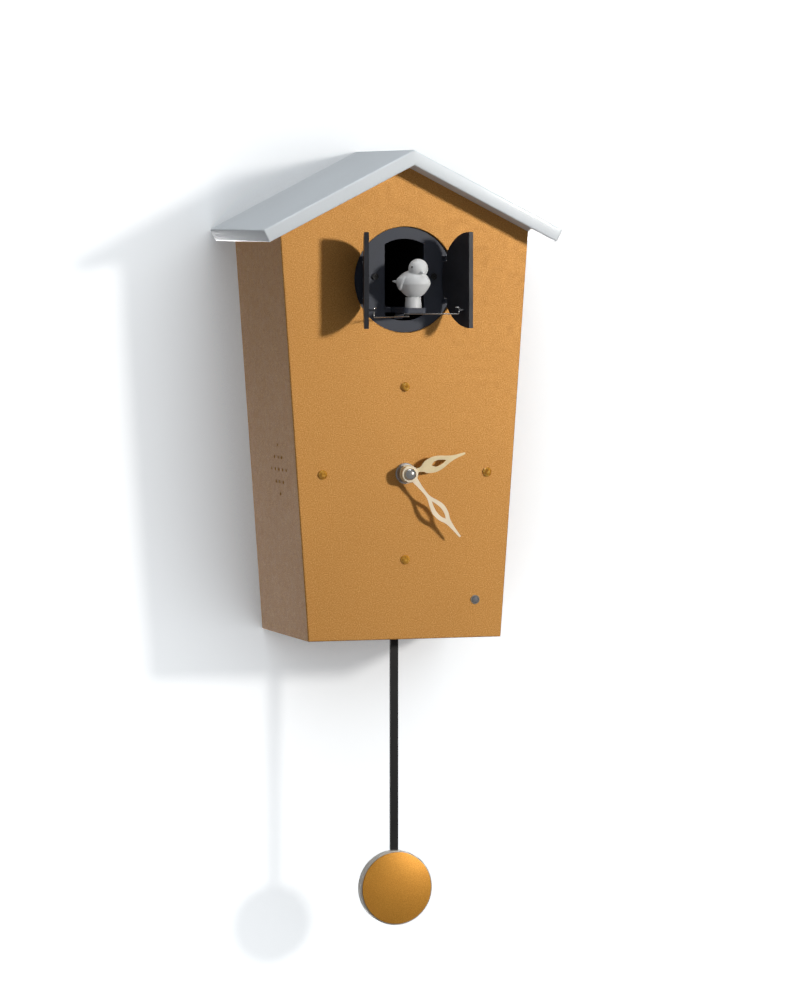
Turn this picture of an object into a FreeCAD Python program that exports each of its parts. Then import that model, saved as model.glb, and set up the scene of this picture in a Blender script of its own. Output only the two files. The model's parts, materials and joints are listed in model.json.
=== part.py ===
import FreeCAD, Part
import math
import os

# Wall-hung cuckoo clock.  All lengths in mm.
# Origin: centre of the keyhole on the wall face.  +X right, +Z up, +Y into the wall.

V = FreeCAD.Vector

# Case
REAR_ROOM = 1.66            # tunnel end to back panel
BOARD = 6.0                 # front, side and bottom boards
HALF_BOTTOM = 67.6          # half width along the bottom edge
TAPER = math.radians(4.1)   # each side leans out by this
BOTTOM_DROP = 111.0         # dial centre down to the bottom face
APEX = 204.7                # dial centre up to the underside of the ridge
ROOF_SLOPE = math.radians(28.5)
ROOF_T = 9.0
ROOF_FRONT = 20.0           # roof overhang in front of the face
EAVE_OUT = 13.0             # eave beyond the shoulder, along the underside
DIAL_DROP = 165.0           # keyhole down to dial centre
BACK_T = 4.0
ACCESS_INSET = 20.0         # inner bottom corner to the side of the access hole
ACCESS = (-96.0, 94.0)      # low and high edge of the access hole
ACCESS_CORNER = 8.0

# Wall hanger
PLATE_T = 2.0
PLATE = (28.0, -13.0, 22.0)     # half width, low and high edge
KEYHOLE_R = 4.5
KEYSLOT_R = 2.25
KEYSLOT_RISE = 13.0

# Fits
GLUE_GAP = 0.05             # fixed shank in its pilot hole
RUN_FIT = 0.06              # radial clearance of a turning shaft
SLIDE_GAP = 0.35            # clearance beside sliding and swinging pieces

# Dial
STONE_INSET = 17.9          # case side to the stones at three and nine
STONE_R = 3.25
SENSOR_INSET = 12.7         # inner bottom corner to the light sensor
SENSOR_Z = -85.6
BUSH_R = 4.0
TUBE_R = 2.9                # hour tube outside
ARBOR_R = 1.7               # minute arbor
MINUTE_ANGLE = 140.4        # clockwise from twelve
HOUR_ANGLE = 71.7
HAND_T = 0.6
HOUR_HAND_FORE = 6.8        # front of the face to the back of each hand
MINUTE_HAND_FORE = 10.8

# Movement
MOVE_HALF = 28.0
MOVE_T = 15.0
MOVE_BACK = BOARD + MOVE_T
MOVE_WALL = 1.8
COVER_T = 2.5
MOTION_CENTRE = 12.0        # centre distance of the motion work
PINION_MODULE = 0.5
HOUR_MODULE = 0.48

# Pendulum
PIVOT_Z = -25.0
PIVOT_R = 1.5
ROD_W = 5.5
ROD_T = 2.0
ROD_DEPTH = MOVE_BACK + 2.5
BOB_Z = -280.7
BOB_R = 25.2
BOB_T = 8.0
BOB_DEPTH = ROD_DEPTH + ROD_T - BOB_T
FACE_T = 0.9
SWING_ROOM = 8.25           # slot beyond the rod on each side
SLOT_ROOM = 3.0             # slot in front of and behind the rod

# Cuckoo stage
STAGE_Z = 129.0
OPENING_R = 35.1
STAGE_RECESS = 1.8
STAGE_WEB = 2.4
RIM_T = 2.5                 # flange behind the front board
WINDOW_HALF = 13.8
WINDOW_R = 27.3             # round head and foot, struck from the stage centre
HINGE_X = OPENING_R - 6.6
HINGE_FORE = 2.2
HINGE_PIN_R = 0.8
KNUCKLE_HALF = 12.3
LUG_H = 3.0
DOOR_R = OPENING_R - 3.3
DOOR_T = 3.2
DOOR_OPEN = 106.0
TAB_IN = 7.0                # middle of the window to link hole, doors closed
TAB_REACH = HINGE_X - TAB_IN
TAB_OFF = 5.0               # middle of the door to link hole
TAB_Z = STAGE_Z - 20.4
TAB_T = 1.4
LINK_R = 0.45
LINK_FORE = 4.0             # face to link screw with the bird out
LINK_Z = (STAGE_Z - 24.3, STAGE_Z - 22.5)   # left and right link
SCREW_STUB = STAGE_Z - 21.95

# Carriage, tunnel and drive
DECK_TOP = STAGE_Z - 18.5
DECK_T = 3.2
DECK_HALF = 8.0
DECK_FRONT = 23.0           # forward of the face with the bird out
SLED_HALF = WINDOW_HALF - 0.3
SLED = (6.0, 30.0)          # depth range with the bird out
TUNNEL_HALF = WINDOW_HALF + 0.4
TUNNEL_WALL = 2.0
TUNNEL_LOW = STAGE_Z - WINDOW_R - 1.7
TUNNEL_HIGH = STAGE_Z + WINDOW_R + 0.7
RACK_END = 58.0
RACK_MODULE = 0.8
RACK_TEETH = 14
RACK_HALF = 3.0
RACK_PITCH_Z = STAGE_Z - 25.8
PINION_DEPTH = 55.5
GEAR_MODULE = 0.5
GEAR_TEETH = 32
MOTOR_TEETH = 10
AXLE_R = 1.5
MOTOR_R = 8.0
MOTOR_L = 24.0
CHEEK_T = 2.0
CHEEKS = (-8.5, 5.0)        # low x of the two gear cheeks

# Bird
BIRD_FORE = 17.0
BIRD_YAW = 43.0
PERCH_R = 5.5
PERCH_TOP = DECK_TOP + 7.1
BODY_Z = DECK_TOP + 15.8
HEAD_R = 6.6
HEAD_FORE = 3.8             # middle of the body to the head, along the body
HEAD_TURN = 6.0
EYE_TURN = 63.0             # each eye from the beak
WING_X = 6.4
WING_L = 7.6                # half length
TAIL_END = 16.4             # middle of the body to the tail tip
EYE_R = 1.0

# Electronics
PCB = (36.0, 32.0, 76.0)    # half width, low and high edge
PCB_DEPTH = 26.0
PCB_T = 1.6
POST_R = 3.0
CELL_R = 7.1
CELL_L = 50.0
CELL_PITCH = 15.6
HOLDER_DEPTH = 41.0
HOLDER_WALL = 1.5
SPEAKER_DEPTH = 41.0
SPEAKER_Z = 1.8
SPEAKER_R = 25.0
GRILLE_HOLE_R = 1.1
GRILLE_PITCH = 8.3
WIRE_R = 0.6
WIRE_BEND = 3.0


def link_hole(side):
    """Link hole in the tab of a closed door: x and depth."""
    return side * (HINGE_X - TAB_REACH), TAB_OFF - HINGE_FORE


def link_end(side):
    """Link hole in the open door: x and depth."""
    turn = math.radians(DOOR_OPEN)
    x = HINGE_X - TAB_REACH * math.cos(turn) - TAB_OFF * math.sin(turn)
    d = -HINGE_FORE - TAB_REACH * math.sin(turn) + TAB_OFF * math.cos(turn)
    return side * x, d


def carriage_travel():
    """Travel that brings both doors shut with the links at full length."""
    x, d = link_end(1)
    reach = math.hypot(x, d + LINK_FORE)
    closed_x, closed_d = link_hole(1)
    return closed_d + math.sqrt(reach ** 2 - closed_x ** 2) + LINK_FORE


def tunnel_end():
    """Depth of the inside of the tunnel's rear wall, behind the retracted rack."""
    return RACK_END + carriage_travel() + SLIDE_GAP


# Front face to wall: the case is as deep as the bird's travel needs
CASE_DEPTH = tunnel_end() + TUNNEL_WALL + REAR_ROOM + BACK_T


def depth(d):
    """Depth behind the front face, as a Y value."""
    return d - CASE_DEPTH


def up(z):
    """Height above the dial centre, as a Z value."""
    return z - DIAL_DROP


def box(x0, x1, d0, d1, z0, z1):
    """Block given by x, depth and height ranges."""
    size = (x1 - x0, d1 - d0, z1 - z0)
    return Part.makeBox(*size, V(x0, depth(d0), up(z0)))


def rod_y(x, z, r, d0, d1):
    """Cylinder running front to back."""
    return Part.makeCylinder(r, d1 - d0, V(x, depth(d0), up(z)), V(0, 1, 0))


def rod_x(d, z, r, x0, x1):
    """Cylinder running left to right."""
    return Part.makeCylinder(r, x1 - x0, V(x0, depth(d), up(z)), V(1, 0, 0))


def rod_z(x, d, r, z0, z1):
    """Upright cylinder."""
    return Part.makeCylinder(r, z1 - z0, V(x, depth(d), up(z0)), V(0, 0, 1))


def plate_xz(points, d0, d1):
    """Flat outline seen from the front, given thickness in depth."""
    corners = [V(x, depth(d0), up(z)) for x, z in points]
    wire = Part.makePolygon(corners + [corners[0]])
    return Part.Face(wire).extrude(V(0, d1 - d0, 0))


def rounded_box(x0, x1, d0, d1, z0, z1, r):
    """Block with its four front-to-back edges rounded."""
    block = box(x0, x1, d0, d1, z0, z1)
    edges = []
    for edge in block.Edges:
        run = edge.tangentAt(edge.FirstParameter)
        if abs(run.y) > 0.99:
            edges.append(edge)
    return block.makeFillet(r, edges)


def fuse(shapes):
    """Join touching shapes into one solid."""
    joined = shapes[0]
    for shape in shapes[1:]:
        joined = joined.fuse(shape)
    return joined.removeSplitter()


def export(name, *shapes):
    """Write one node; separate pieces stay separate solids."""
    solids = []
    for shape in shapes:
        solids.extend(shape.Solids)
    body = solids[0] if len(solids) == 1 else Part.makeCompound(solids)
    body.exportStep(os.path.join("parts", name + ".step"))


def gear(teeth, module, width, phase):
    """Spur gear round +Z at the origin, one tooth centred on the phase angle."""
    pitch_r = teeth * module / 2
    pitch = 2 * math.pi / teeth
    radii = (pitch_r - 1.15 * module, pitch_r, pitch_r + 0.8 * module)
    halves = (0.29 * pitch, 0.19 * pitch, 0.10 * pitch)
    points = []
    for tooth in range(teeth):
        middle = phase + tooth * pitch
        steps = list(zip(radii, halves))
        for r, half in steps:
            points.append(V(r * math.cos(middle - half), r * math.sin(middle - half), 0))
        for r, half in reversed(steps):
            points.append(V(r * math.cos(middle + half), r * math.sin(middle + half), 0))
    return Part.Face(Part.makePolygon(points + [points[0]])).extrude(V(0, 0, width))


def gear_y(x, z, teeth, module, d0, d1, phase):
    """Gear on a front-to-back shaft; phase measured from +X towards +Z."""
    wheel = gear(teeth, module, d1 - d0, -phase)
    wheel.rotate(V(0, 0, 0), V(1, 0, 0), -90)
    wheel.translate(V(x, depth(d0), up(z)))
    return wheel


def gear_x(d, z, teeth, module, x0, x1, phase):
    """Gear on a left-to-right shaft; phase measured from +Y towards +Z."""
    wheel = gear(teeth, module, x1 - x0, phase)
    wheel.rotate(V(0, 0, 0), V(0, 0, 1), 90)
    wheel.rotate(V(0, 0, 0), V(0, 1, 0), 90)
    wheel.translate(V(x0, depth(d), up(z)))
    return wheel


def case_outline(inset):
    """Corners of the case seen from the front, set in from the sides and bottom."""
    low = inset - BOTTOM_DROP
    lean = math.tan(TAPER)
    pitch = math.tan(ROOF_SLOPE)
    foot = HALF_BOTTOM + inset * lean - inset / math.cos(TAPER)
    shoulder = (foot + (APEX - low) * lean) / (1 + pitch * lean)
    eave = APEX - shoulder * pitch
    return [(-foot, low), (foot, low), (shoulder, eave), (0, APEX), (-shoulder, eave)]


def front_blank():
    """Front board before drilling, mitred along its sides and bottom."""
    wires = []
    for inset in (0.0, BOARD):
        corners = [V(x, depth(inset), up(z)) for x, z in case_outline(inset)]
        wires.append(Part.makePolygon(corners + [corners[0]]))
    return Part.makeLoft(wires, True, True)


def half_width(z):
    """Half width of the case at a height above the dial centre."""
    return HALF_BOTTOM + (z + BOTTOM_DROP) * math.tan(TAPER)


def sensor_place():
    """Light sensor, near the lower right corner."""
    return case_outline(BOARD)[1][0] - SENSOR_INSET, SENSOR_Z


def stone_places():
    """Twelve, three, six and nine o'clock."""
    reach = half_width(0) - STONE_INSET
    ring = []
    for quarter in range(4):
        a = math.radians(90 * quarter)
        ring.append((reach * math.sin(a), reach * math.cos(a)))
    return ring


def front_board():
    """Front board with the stage hole, shaft hole, stud holes and sensor hole."""
    board = front_blank()
    board = board.cut(rod_y(0, STAGE_Z, OPENING_R, -1, BOARD + 1))
    board = board.cut(rod_y(0, 0, BUSH_R + GLUE_GAP, -1, BOARD + 1))
    for x, z in stone_places():
        board = board.cut(rod_y(x, z, 1.0 + GLUE_GAP, -1, BOARD + 1))
    x, z = sensor_place()
    board = board.cut(rod_y(x, z, 2.5 + GLUE_GAP, -1, BOARD + 1))
    for x, z in post_places():
        board = board.cut(rod_y(x, z, 1.2 + GLUE_GAP, BOARD - 3, BOARD + 1))
    return board


def side_strip(side):
    """One side board, mitred to the front board, before drilling."""
    outer = case_outline(0.0)
    inner = case_outline(BOARD)
    pair = (1, 2) if side > 0 else (0, 4)
    corners = [outer[pair[0]], outer[pair[1]], inner[pair[1]], inner[pair[0]]]
    return plate_xz(corners, 0, CASE_DEPTH).cut(front_blank())


def wall_frame(shape):
    """Set a shape drawn on a flat z=0 sheet onto the inside of the left board."""
    shape.rotate(V(0, 0, 0), V(0, 1, 0), 90)
    shape.rotate(V(0, 0, 0), V(0, 1, 0), -math.degrees(TAPER))
    inner = case_outline(BOARD)[0]
    x = inner[0] - (SPEAKER_Z - inner[1]) * math.tan(TAPER)
    shape.translate(V(x, depth(SPEAKER_DEPTH), up(SPEAKER_Z)))
    return shape


def left_side_board():
    """Left board with a diamond of thirteen sound holes."""
    board = side_strip(-1)
    for row in range(-2, 3):
        span = 2 - abs(row)
        for col in range(-span, span + 1):
            hole = Part.makeCylinder(GRILLE_HOLE_R, 4 * BOARD, V(0, 0, -2 * BOARD))
            hole.translate(V(row * GRILLE_PITCH, col * GRILLE_PITCH, 0))
            board = board.cut(wall_frame(hole))
    return board


def bottom_board():
    """Bottom board with the pendulum slot, mitred to front and sides."""
    outer = case_outline(0.0)
    inner = case_outline(BOARD)
    board = plate_xz([outer[0], outer[1], inner[1], inner[0]], 0, CASE_DEPTH)
    board = board.cut(front_blank())
    half = ROD_W / 2 + SWING_ROOM
    front = ROD_DEPTH - SLOT_ROOM
    back = ROD_DEPTH + ROD_T + SLOT_ROOM
    low = -BOTTOM_DROP
    return board.cut(box(-half, half, front, back, low - 1, low + BOARD + 1))


def roof_board(side):
    """One roof board, mitred at the ridge, its eave cut square."""
    pitch = math.tan(ROOF_SLOPE)
    eave = case_outline(0.0)[2][0] + EAVE_OUT
    low = APEX - eave * pitch
    rise = ROOF_T * math.cos(ROOF_SLOPE)
    run = ROOF_T * math.sin(ROOF_SLOPE)
    crest = APEX + ROOF_T / math.cos(ROOF_SLOPE)
    section = [(0, APEX), (eave, low), (eave + run, low + rise), (0, crest)]
    corners = [(side * x, z) for x, z in section]
    return plate_xz(corners, -ROOF_FRONT, CASE_DEPTH)


def screw_places():
    """Back panel screws, one in each glue block."""
    low = BOARD - BOTTOM_DROP + 7
    high = case_outline(BOARD)[2][1] - 9
    places = []
    for z in (low, high):
        foot = case_outline(BOARD)[1]
        x = foot[0] + (z - foot[1]) * math.tan(TAPER) - 8
        places.append((x, z))
        places.append((-x, z))
    return places


def corner_blocks():
    """Four glue blocks in the corners that take the back panel screws."""
    hollow = plate_xz(case_outline(BOARD), 0, CASE_DEPTH)
    blocks = []
    back = CASE_DEPTH - BACK_T
    for x, z in screw_places():
        block = box(x - 8, x + 16, back - 16, back, z - 8, z + 8)
        if x < 0:
            block = box(x - 16, x + 8, back - 16, back, z - 8, z + 8)
        block = block.common(hollow)
        blocks.append(block.cut(rod_y(x, z, 1.5 + GLUE_GAP, back - 14, back + 1)))
    return blocks


def back_screw(x, z, length):
    """Countersunk slotted screw with its head flush at the wall face."""
    head = Part.makeCone(3.0, 1.5, 1.8, V(x, 0, up(z)), V(0, -1, 0))
    shank = Part.makeCylinder(1.5, length, V(x, 0, up(z)), V(0, -1, 0))
    slot = Part.makeBox(8, 0.7, 0.8, V(x - 4, -0.7, up(z) - 0.4))
    return head.fuse(shank).removeSplitter().cut(slot)


def screw_sink(x, z, length):
    """Hole that a flush back screw needs."""
    head = Part.makeCone(3.0 + GLUE_GAP, 1.5 + GLUE_GAP, 1.8, V(x, 0, up(z)), V(0, -1, 0))
    return head.fuse(Part.makeCylinder(1.5 + GLUE_GAP, length, V(x, 0, up(z)), V(0, -1, 0)))


def hanger_places():
    """Hanger plate screws."""
    return [(-20.0, DIAL_DROP + 5), (20.0, DIAL_DROP + 5)]


def back_panel():
    """Back panel let in flush, with access hole, hanger recess and hook pocket."""
    panel = plate_xz(case_outline(BOARD), CASE_DEPTH - BACK_T, CASE_DEPTH)
    half = case_outline(BOARD)[1][0] - ACCESS_INSET
    low, high = ACCESS
    back = CASE_DEPTH
    panel = panel.cut(rounded_box(-half, half, back - 9, back + 5, low, high, ACCESS_CORNER))
    half, low, high = PLATE
    low += DIAL_DROP
    high += DIAL_DROP
    panel = panel.cut(rounded_box(-half, half, back - PLATE_T, back + 5, low, high, 3))
    panel = panel.cut(rounded_box(-8, 8, back - 9, back + 5, DIAL_DROP - 8, DIAL_DROP + 18, 3))
    for x, z in screw_places():
        panel = panel.cut(screw_sink(x, z, 16))
    for x, z in hanger_places():
        panel = panel.cut(screw_sink(x, z, 16))
    return panel


def hanger_plate():
    """Steel hanger plate with a keyhole, flush in the back panel."""
    half, low, high = PLATE
    back = CASE_DEPTH
    plate = rounded_box(-half, half, back - PLATE_T, back, DIAL_DROP + low, DIAL_DROP + high, 3)
    plate = plate.cut(rod_y(0, DIAL_DROP, KEYHOLE_R, back - 5, back + 1))
    top = DIAL_DROP + KEYSLOT_RISE
    plate = plate.cut(box(-KEYSLOT_R, KEYSLOT_R, back - 5, back + 1, DIAL_DROP, top))
    plate = plate.cut(rod_y(0, top, KEYSLOT_R, back - 5, back + 1))
    for x, z in hanger_places():
        plate = plate.cut(screw_sink(x, z, 16))
    return plate


def hour_stones():
    """Four domed studs pressed into the face by their shanks."""
    studs = []
    for x, z in stone_places():
        girdle = rod_y(x, z, STONE_R, -0.7, 0)
        crown = Part.makeCone(STONE_R, 1.6, 1.5, V(x, depth(-0.7), up(z)), V(0, -1, 0))
        shank = rod_y(x, z, 1.0, 0, 5)
        studs.append(fuse([girdle, crown, shank]))
    return studs


def sensor_ring():
    """Thin ring that trims the light sensor hole."""
    x, z = sensor_place()
    return rod_y(x, z, 3.1, -0.5, 0).cut(rod_y(x, z, 2.5, -1, 1))


def light_sensor():
    """Light sensor with a shallow domed lens, pushed in from behind."""
    x, z = sensor_place()
    body = rod_y(x, z, 2.5, -0.3, BOARD + 2)
    rim = rod_y(x, z, 3.6, BOARD, BOARD + 1.2)
    lens = Part.makeSphere(4.0, V(x, depth(3.0), up(z)))
    lens = lens.common(rod_y(x, z, 2.15, -2, 3))
    return fuse([body, rim, lens])


def shaft_washer():
    """Flat washer on the threaded bush."""
    return rod_y(0, 0, 7.0, -1, 0).cut(rod_y(0, 0, BUSH_R, -2, 1))


def shaft_nut():
    """Round nut with four spanner notches that clamps the movement."""
    nut = rod_y(0, 0, 6.5, -3.2, -1)
    for quarter in range(4):
        notch = box(5.6, 8, -4, 0, -0.8, 0.8)
        notch.rotate(V(0, 0, up(0)), V(0, 1, 0), 45 + 90 * quarter)
        nut = nut.cut(notch)
    return nut.cut(rod_y(0, 0, BUSH_R, -5, 1))


def movement_case():
    """Quartz movement case: front shell with threaded bush and wheel pin."""
    half = MOVE_HALF
    shell = rounded_box(-half, half, BOARD, MOVE_BACK - COVER_T, -half, half, 3)
    inner = half - MOVE_WALL
    shell = shell.cut(box(-inner, inner, BOARD + MOVE_WALL, MOVE_BACK, -inner, inner))
    shell = shell.fuse(rod_y(0, 0, BUSH_R, -3.8, BOARD))
    shell = shell.cut(rod_y(0, 0, TUBE_R + RUN_FIT, -6, BOARD + MOVE_WALL + 1))
    return shell.fuse(rod_y(MOTION_CENTRE, 0, 0.8, BOARD + 1, BOARD + 8)).removeSplitter()


def movement_cover():
    """Rear cover of the movement, with the pendulum pin and the knob hole."""
    half = MOVE_HALF
    cover = rounded_box(-half, half, MOVE_BACK - COVER_T, MOVE_BACK, -half, half, 3)
    cover = cover.cut(rod_y(MOTION_CENTRE, -MOTION_CENTRE, PIVOT_R + RUN_FIT, 0, MOVE_BACK + 1))
    pin = rod_y(0, PIVOT_Z, PIVOT_R, MOVE_BACK - 1, MOVE_BACK + 8)
    head = rod_y(0, PIVOT_Z, 2.6, MOVE_BACK + 7, MOVE_BACK + 8)
    return fuse([cover, pin, head])


def minute_arbor():
    """Minute arbor with its pinion, running through the hour tube."""
    shaft = rod_y(0, 0, ARBOR_R, -13.5, MOVE_BACK - COVER_T - 1)
    pinion = gear_y(0, 0, 12, PINION_MODULE, BOARD + 4.4, BOARD + 6.6, 0)
    return shaft.fuse(pinion).removeSplitter()


def minute_wheel():
    """Minute wheel and pinion that step the motion down twelve to one."""
    half_tooth = math.pi / 36
    x = MOTION_CENTRE
    wheel = gear_y(x, 0, 36, PINION_MODULE, BOARD + 4.7, BOARD + 6.2, half_tooth)
    phase = math.pi / 10 + math.pi
    pinion = gear_y(x, 0, 10, HOUR_MODULE, BOARD + 2.2, BOARD + 4.7, phase)
    pair = wheel.fuse(pinion)
    return pair.cut(rod_y(x, 0, 0.8 + RUN_FIT, BOARD, BOARD + 14)).removeSplitter()


def hour_tube():
    """Hour wheel on its tube."""
    tube = rod_y(0, 0, TUBE_R, -8.2, BOARD + 3.9)
    wheel = gear_y(0, 0, 40, HOUR_MODULE, BOARD + 2.4, BOARD + 3.9, 0)
    pair = tube.fuse(wheel)
    return pair.cut(rod_y(0, 0, ARBOR_R + RUN_FIT, -20, BOARD + 14)).removeSplitter()


def setting_knob():
    """Time-setting knob with the pinion that turns the minute wheel."""
    x = MOTION_CENTRE
    z = -MOTION_CENTRE
    shaft = rod_y(x, z, PIVOT_R, BOARD + 4.8, MOVE_BACK + 2)
    pinion = gear_y(x, z, 12, PINION_MODULE, BOARD + 4.8, BOARD + 6.4, math.pi / 2)
    knob = rod_y(x, z, 6.0, MOVE_BACK + 1, MOVE_BACK + 7)
    for step in range(18):
        a = 2 * math.pi * step / 18
        flute = rod_y(x + 6.2 * math.cos(a), z + 6.2 * math.sin(a), 0.55, MOVE_BACK, MOVE_BACK + 8)
        knob = knob.cut(flute)
    return fuse([shaft, pinion, knob])


def movement_coil():
    """Coil and core of the step motor inside the movement."""
    middle = BOARD + 7.2
    coil = rod_x(middle, -19.0, 4.6, -20, -2)
    core = box(-23, 1, middle - 1, middle + 1, -20, -18)
    return coil.fuse(core).removeSplitter()


def spline_edge(points, side):
    """Smooth half of a hand outline."""
    curve = Part.BSplineCurve()
    curve.interpolate([V(side * w, 0, u) for u, w in points])
    return curve.toShape()


def closed_outline(points):
    """Face bounded by a smooth outline mirrored about the hand's centre line."""
    right = spline_edge(points, 1)
    left = spline_edge(points, -1)
    edges = [right, left]
    for u, w in (points[0], points[-1]):
        if w > 0:
            edges.append(Part.makeLine(V(w, 0, u), V(-w, 0, u)))
    return Part.Face(Part.Wire(Part.__sortEdges__(edges)))


def hand(outline, hole, hub_r, bore_r, fore, angle):
    """Leaf-shaped hand with a pierced centre and a round hub."""
    blade = closed_outline(outline).extrude(V(0, HAND_T, 0))
    blade = blade.cut(closed_outline(hole).extrude(V(0, HAND_T, 0)))
    hub = Part.makeCylinder(hub_r, HAND_T, V(0, 0, 0), V(0, 1, 0))
    collar = Part.makeCylinder(bore_r + 1.2, 1.4, V(0, 0, 0), V(0, 1, 0))
    blade = blade.fuse(hub).fuse(collar)
    blade = blade.cut(Part.makeCylinder(bore_r, 6, V(0, -2, 0), V(0, 1, 0)))
    blade = blade.removeSplitter()
    blade.rotate(V(0, 0, 0), V(0, 1, 0), angle)
    blade.translate(V(0, depth(-fore), up(0)))
    return blade


def hour_hand():
    """Hour hand pressed on the hour tube."""
    outline = [(0, 3.0), (7.5, 1.3), (10.5, 2.0), (13, 3.8), (18.5, 5.1), (24, 4.4),
               (29, 2.6), (34, 1.3), (42, 0.45)]
    hole = [(16.8, 0), (19.5, 1.8), (22.3, 2.05), (25.5, 1.3), (28.3, 0)]
    return hand(outline, hole, 6.0, TUBE_R, HOUR_HAND_FORE, HOUR_ANGLE)


def minute_hand():
    """Minute hand pressed on the minute arbor."""
    outline = [(0, 2.4), (4, 2.2), (10, 1.35), (16.5, 0.95), (21, 1.4), (27, 3.8),
               (31.5, 4.8), (37, 4.0), (41.5, 2.0), (47, 1.1), (55, 0.5)]
    hole = [(23.3, 0), (27.3, 1.3), (31.5, 2.05), (36.0, 1.6), (39.4, 0)]
    return hand(outline, hole, 5.6, ARBOR_R, MINUTE_HAND_FORE, MINUTE_ANGLE)


def hand_nut():
    """Domed nut that holds the minute hand."""
    base = MINUTE_HAND_FORE
    skirt = rod_y(0, 0, 3.9, -base - 1.6, -base)
    dome = Part.makeSphere(5.0, V(0, depth(-base + 1.5), up(0)))
    dome = dome.common(rod_y(0, 0, 3.9, -base - 4, -base))
    nut = skirt.fuse(dome).removeSplitter()
    return nut.cut(rod_y(0, 0, ARBOR_R, -13.5, 0))


def pendulum_rod():
    """Flat black pendulum rod."""
    half = ROD_W / 2
    return box(-half, half, ROD_DEPTH, ROD_DEPTH + ROD_T, BOB_Z - 12, PIVOT_Z - 8)


def pendulum_magnet():
    """Small magnet that the movement's coil drives."""
    return rod_y(0, PIVOT_Z - 4.6, 1.8, ROD_DEPTH - 1.1, ROD_DEPTH - 0.1)


def pendulum_hanger():
    """Moulded hanger on the pivot pin, gripping the top of the rod."""
    half = ROD_W / 2 + 2.25
    front = ROD_DEPTH - 1.1
    back = ROD_DEPTH + ROD_T + 1.5
    body = rounded_box(-half, half, front, back, PIVOT_Z - 15, PIVOT_Z + 5, 3)
    body = body.cut(rod_y(0, PIVOT_Z, PIVOT_R + RUN_FIT, front - 1, back + 1))
    return body.cut(pendulum_rod()).cut(pendulum_magnet())


def bob_body():
    """Bob puck with a groove at the back for the rod."""
    body = rod_y(0, BOB_Z, BOB_R, BOB_DEPTH + FACE_T, BOB_DEPTH + BOB_T)
    rims = [edge for edge in body.Edges if edge.Length > BOB_R]
    rims = [edge for edge in rims if len(edge.Vertexes) == 1]
    return body.makeFillet(0.5, rims).cut(pendulum_rod())


def bob_face():
    """Thin bright disc on the front of the bob."""
    return rod_y(0, BOB_Z, BOB_R - 0.9, BOB_DEPTH, BOB_DEPTH + FACE_T)


def window(d0, d1):
    """Window shape, a strip of a circle, cut through from d0 to d1."""
    strip = box(-WINDOW_HALF, WINDOW_HALF, d0, d1, STAGE_Z - OPENING_R, STAGE_Z + OPENING_R)
    return strip.common(rod_y(0, STAGE_Z, WINDOW_R, d0, d1))


def stage_screw_places():
    """Screws either side of the window."""
    return [(-20.5, STAGE_Z + 2), (20.5, STAGE_Z + 2)]


def stage_plate():
    """Round stage plate with the window and the hinge lugs."""
    front = STAGE_RECESS
    back = STAGE_RECESS + STAGE_WEB
    plate = rod_y(0, STAGE_Z, OPENING_R - 0.15, front, BOARD)
    plate = plate.fuse(rod_y(0, STAGE_Z, OPENING_R + 4.4, BOARD, BOARD + RIM_T))
    plate = plate.cut(rod_y(0, STAGE_Z, OPENING_R - 2.2, back, BOARD + 5))
    plate = plate.cut(window(0, back + 1))
    for side in (-1, 1):
        for end in (-1, 1):
            middle = STAGE_Z + end * (KNUCKLE_HALF + SLIDE_GAP + LUG_H / 2)
            low = middle - LUG_H / 2
            high = middle + LUG_H / 2
            x = side * HINGE_X
            lug = box(x - 1.6, x + 1.6, -HINGE_FORE, front + 1, low, high)
            lug = lug.fuse(rod_z(x, -HINGE_FORE, 1.6, low, high))
            plate = plate.fuse(lug)
            plate = plate.cut(rod_z(x, -HINGE_FORE, HINGE_PIN_R, low - 1, high + 1))
        rib = box(side * 31 - 0.8, side * 31 + 0.8, front - 0.4, front, STAGE_Z - 12, STAGE_Z + 12)
        plate = plate.fuse(rib)
    for x, z in stage_screw_places():
        plate = plate.cut(rod_y(x, z, 1.2 + GLUE_GAP, 0, back + 1))
    return plate.removeSplitter()


def stage_screws():
    """Black pan-head screws holding the stage plate to the tunnel."""
    screws = []
    for x, z in stage_screw_places():
        front = STAGE_RECESS
        head = rod_y(x, z, 2.1, front - 1.2, front)
        shank = rod_y(x, z, 1.2, front, front + 7)
        screw = head.fuse(shank).removeSplitter()
        screw = screw.cut(box(x - 1.4, x + 1.4, front - 2, front - 0.6, z - 0.3, z + 0.3))
        screws.append(screw.cut(box(x - 0.3, x + 0.3, front - 2, front - 0.6, z - 1.4, z + 1.4)))
    return screws


def hinge_pins():
    """Two upright steel hinge pins."""
    reach = KNUCKLE_HALF + SLIDE_GAP + LUG_H
    pins = []
    for side in (-1, 1):
        pins.append(rod_z(side * HINGE_X, -HINGE_FORE, HINGE_PIN_R, STAGE_Z - reach, STAGE_Z + reach))
    return pins


def open_door(shape, side):
    """Swing a piece of a closed door to its open position."""
    shape.rotate(V(side * HINGE_X, depth(-HINGE_FORE), 0), V(0, 0, 1), side * DOOR_OPEN)
    return shape


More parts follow.
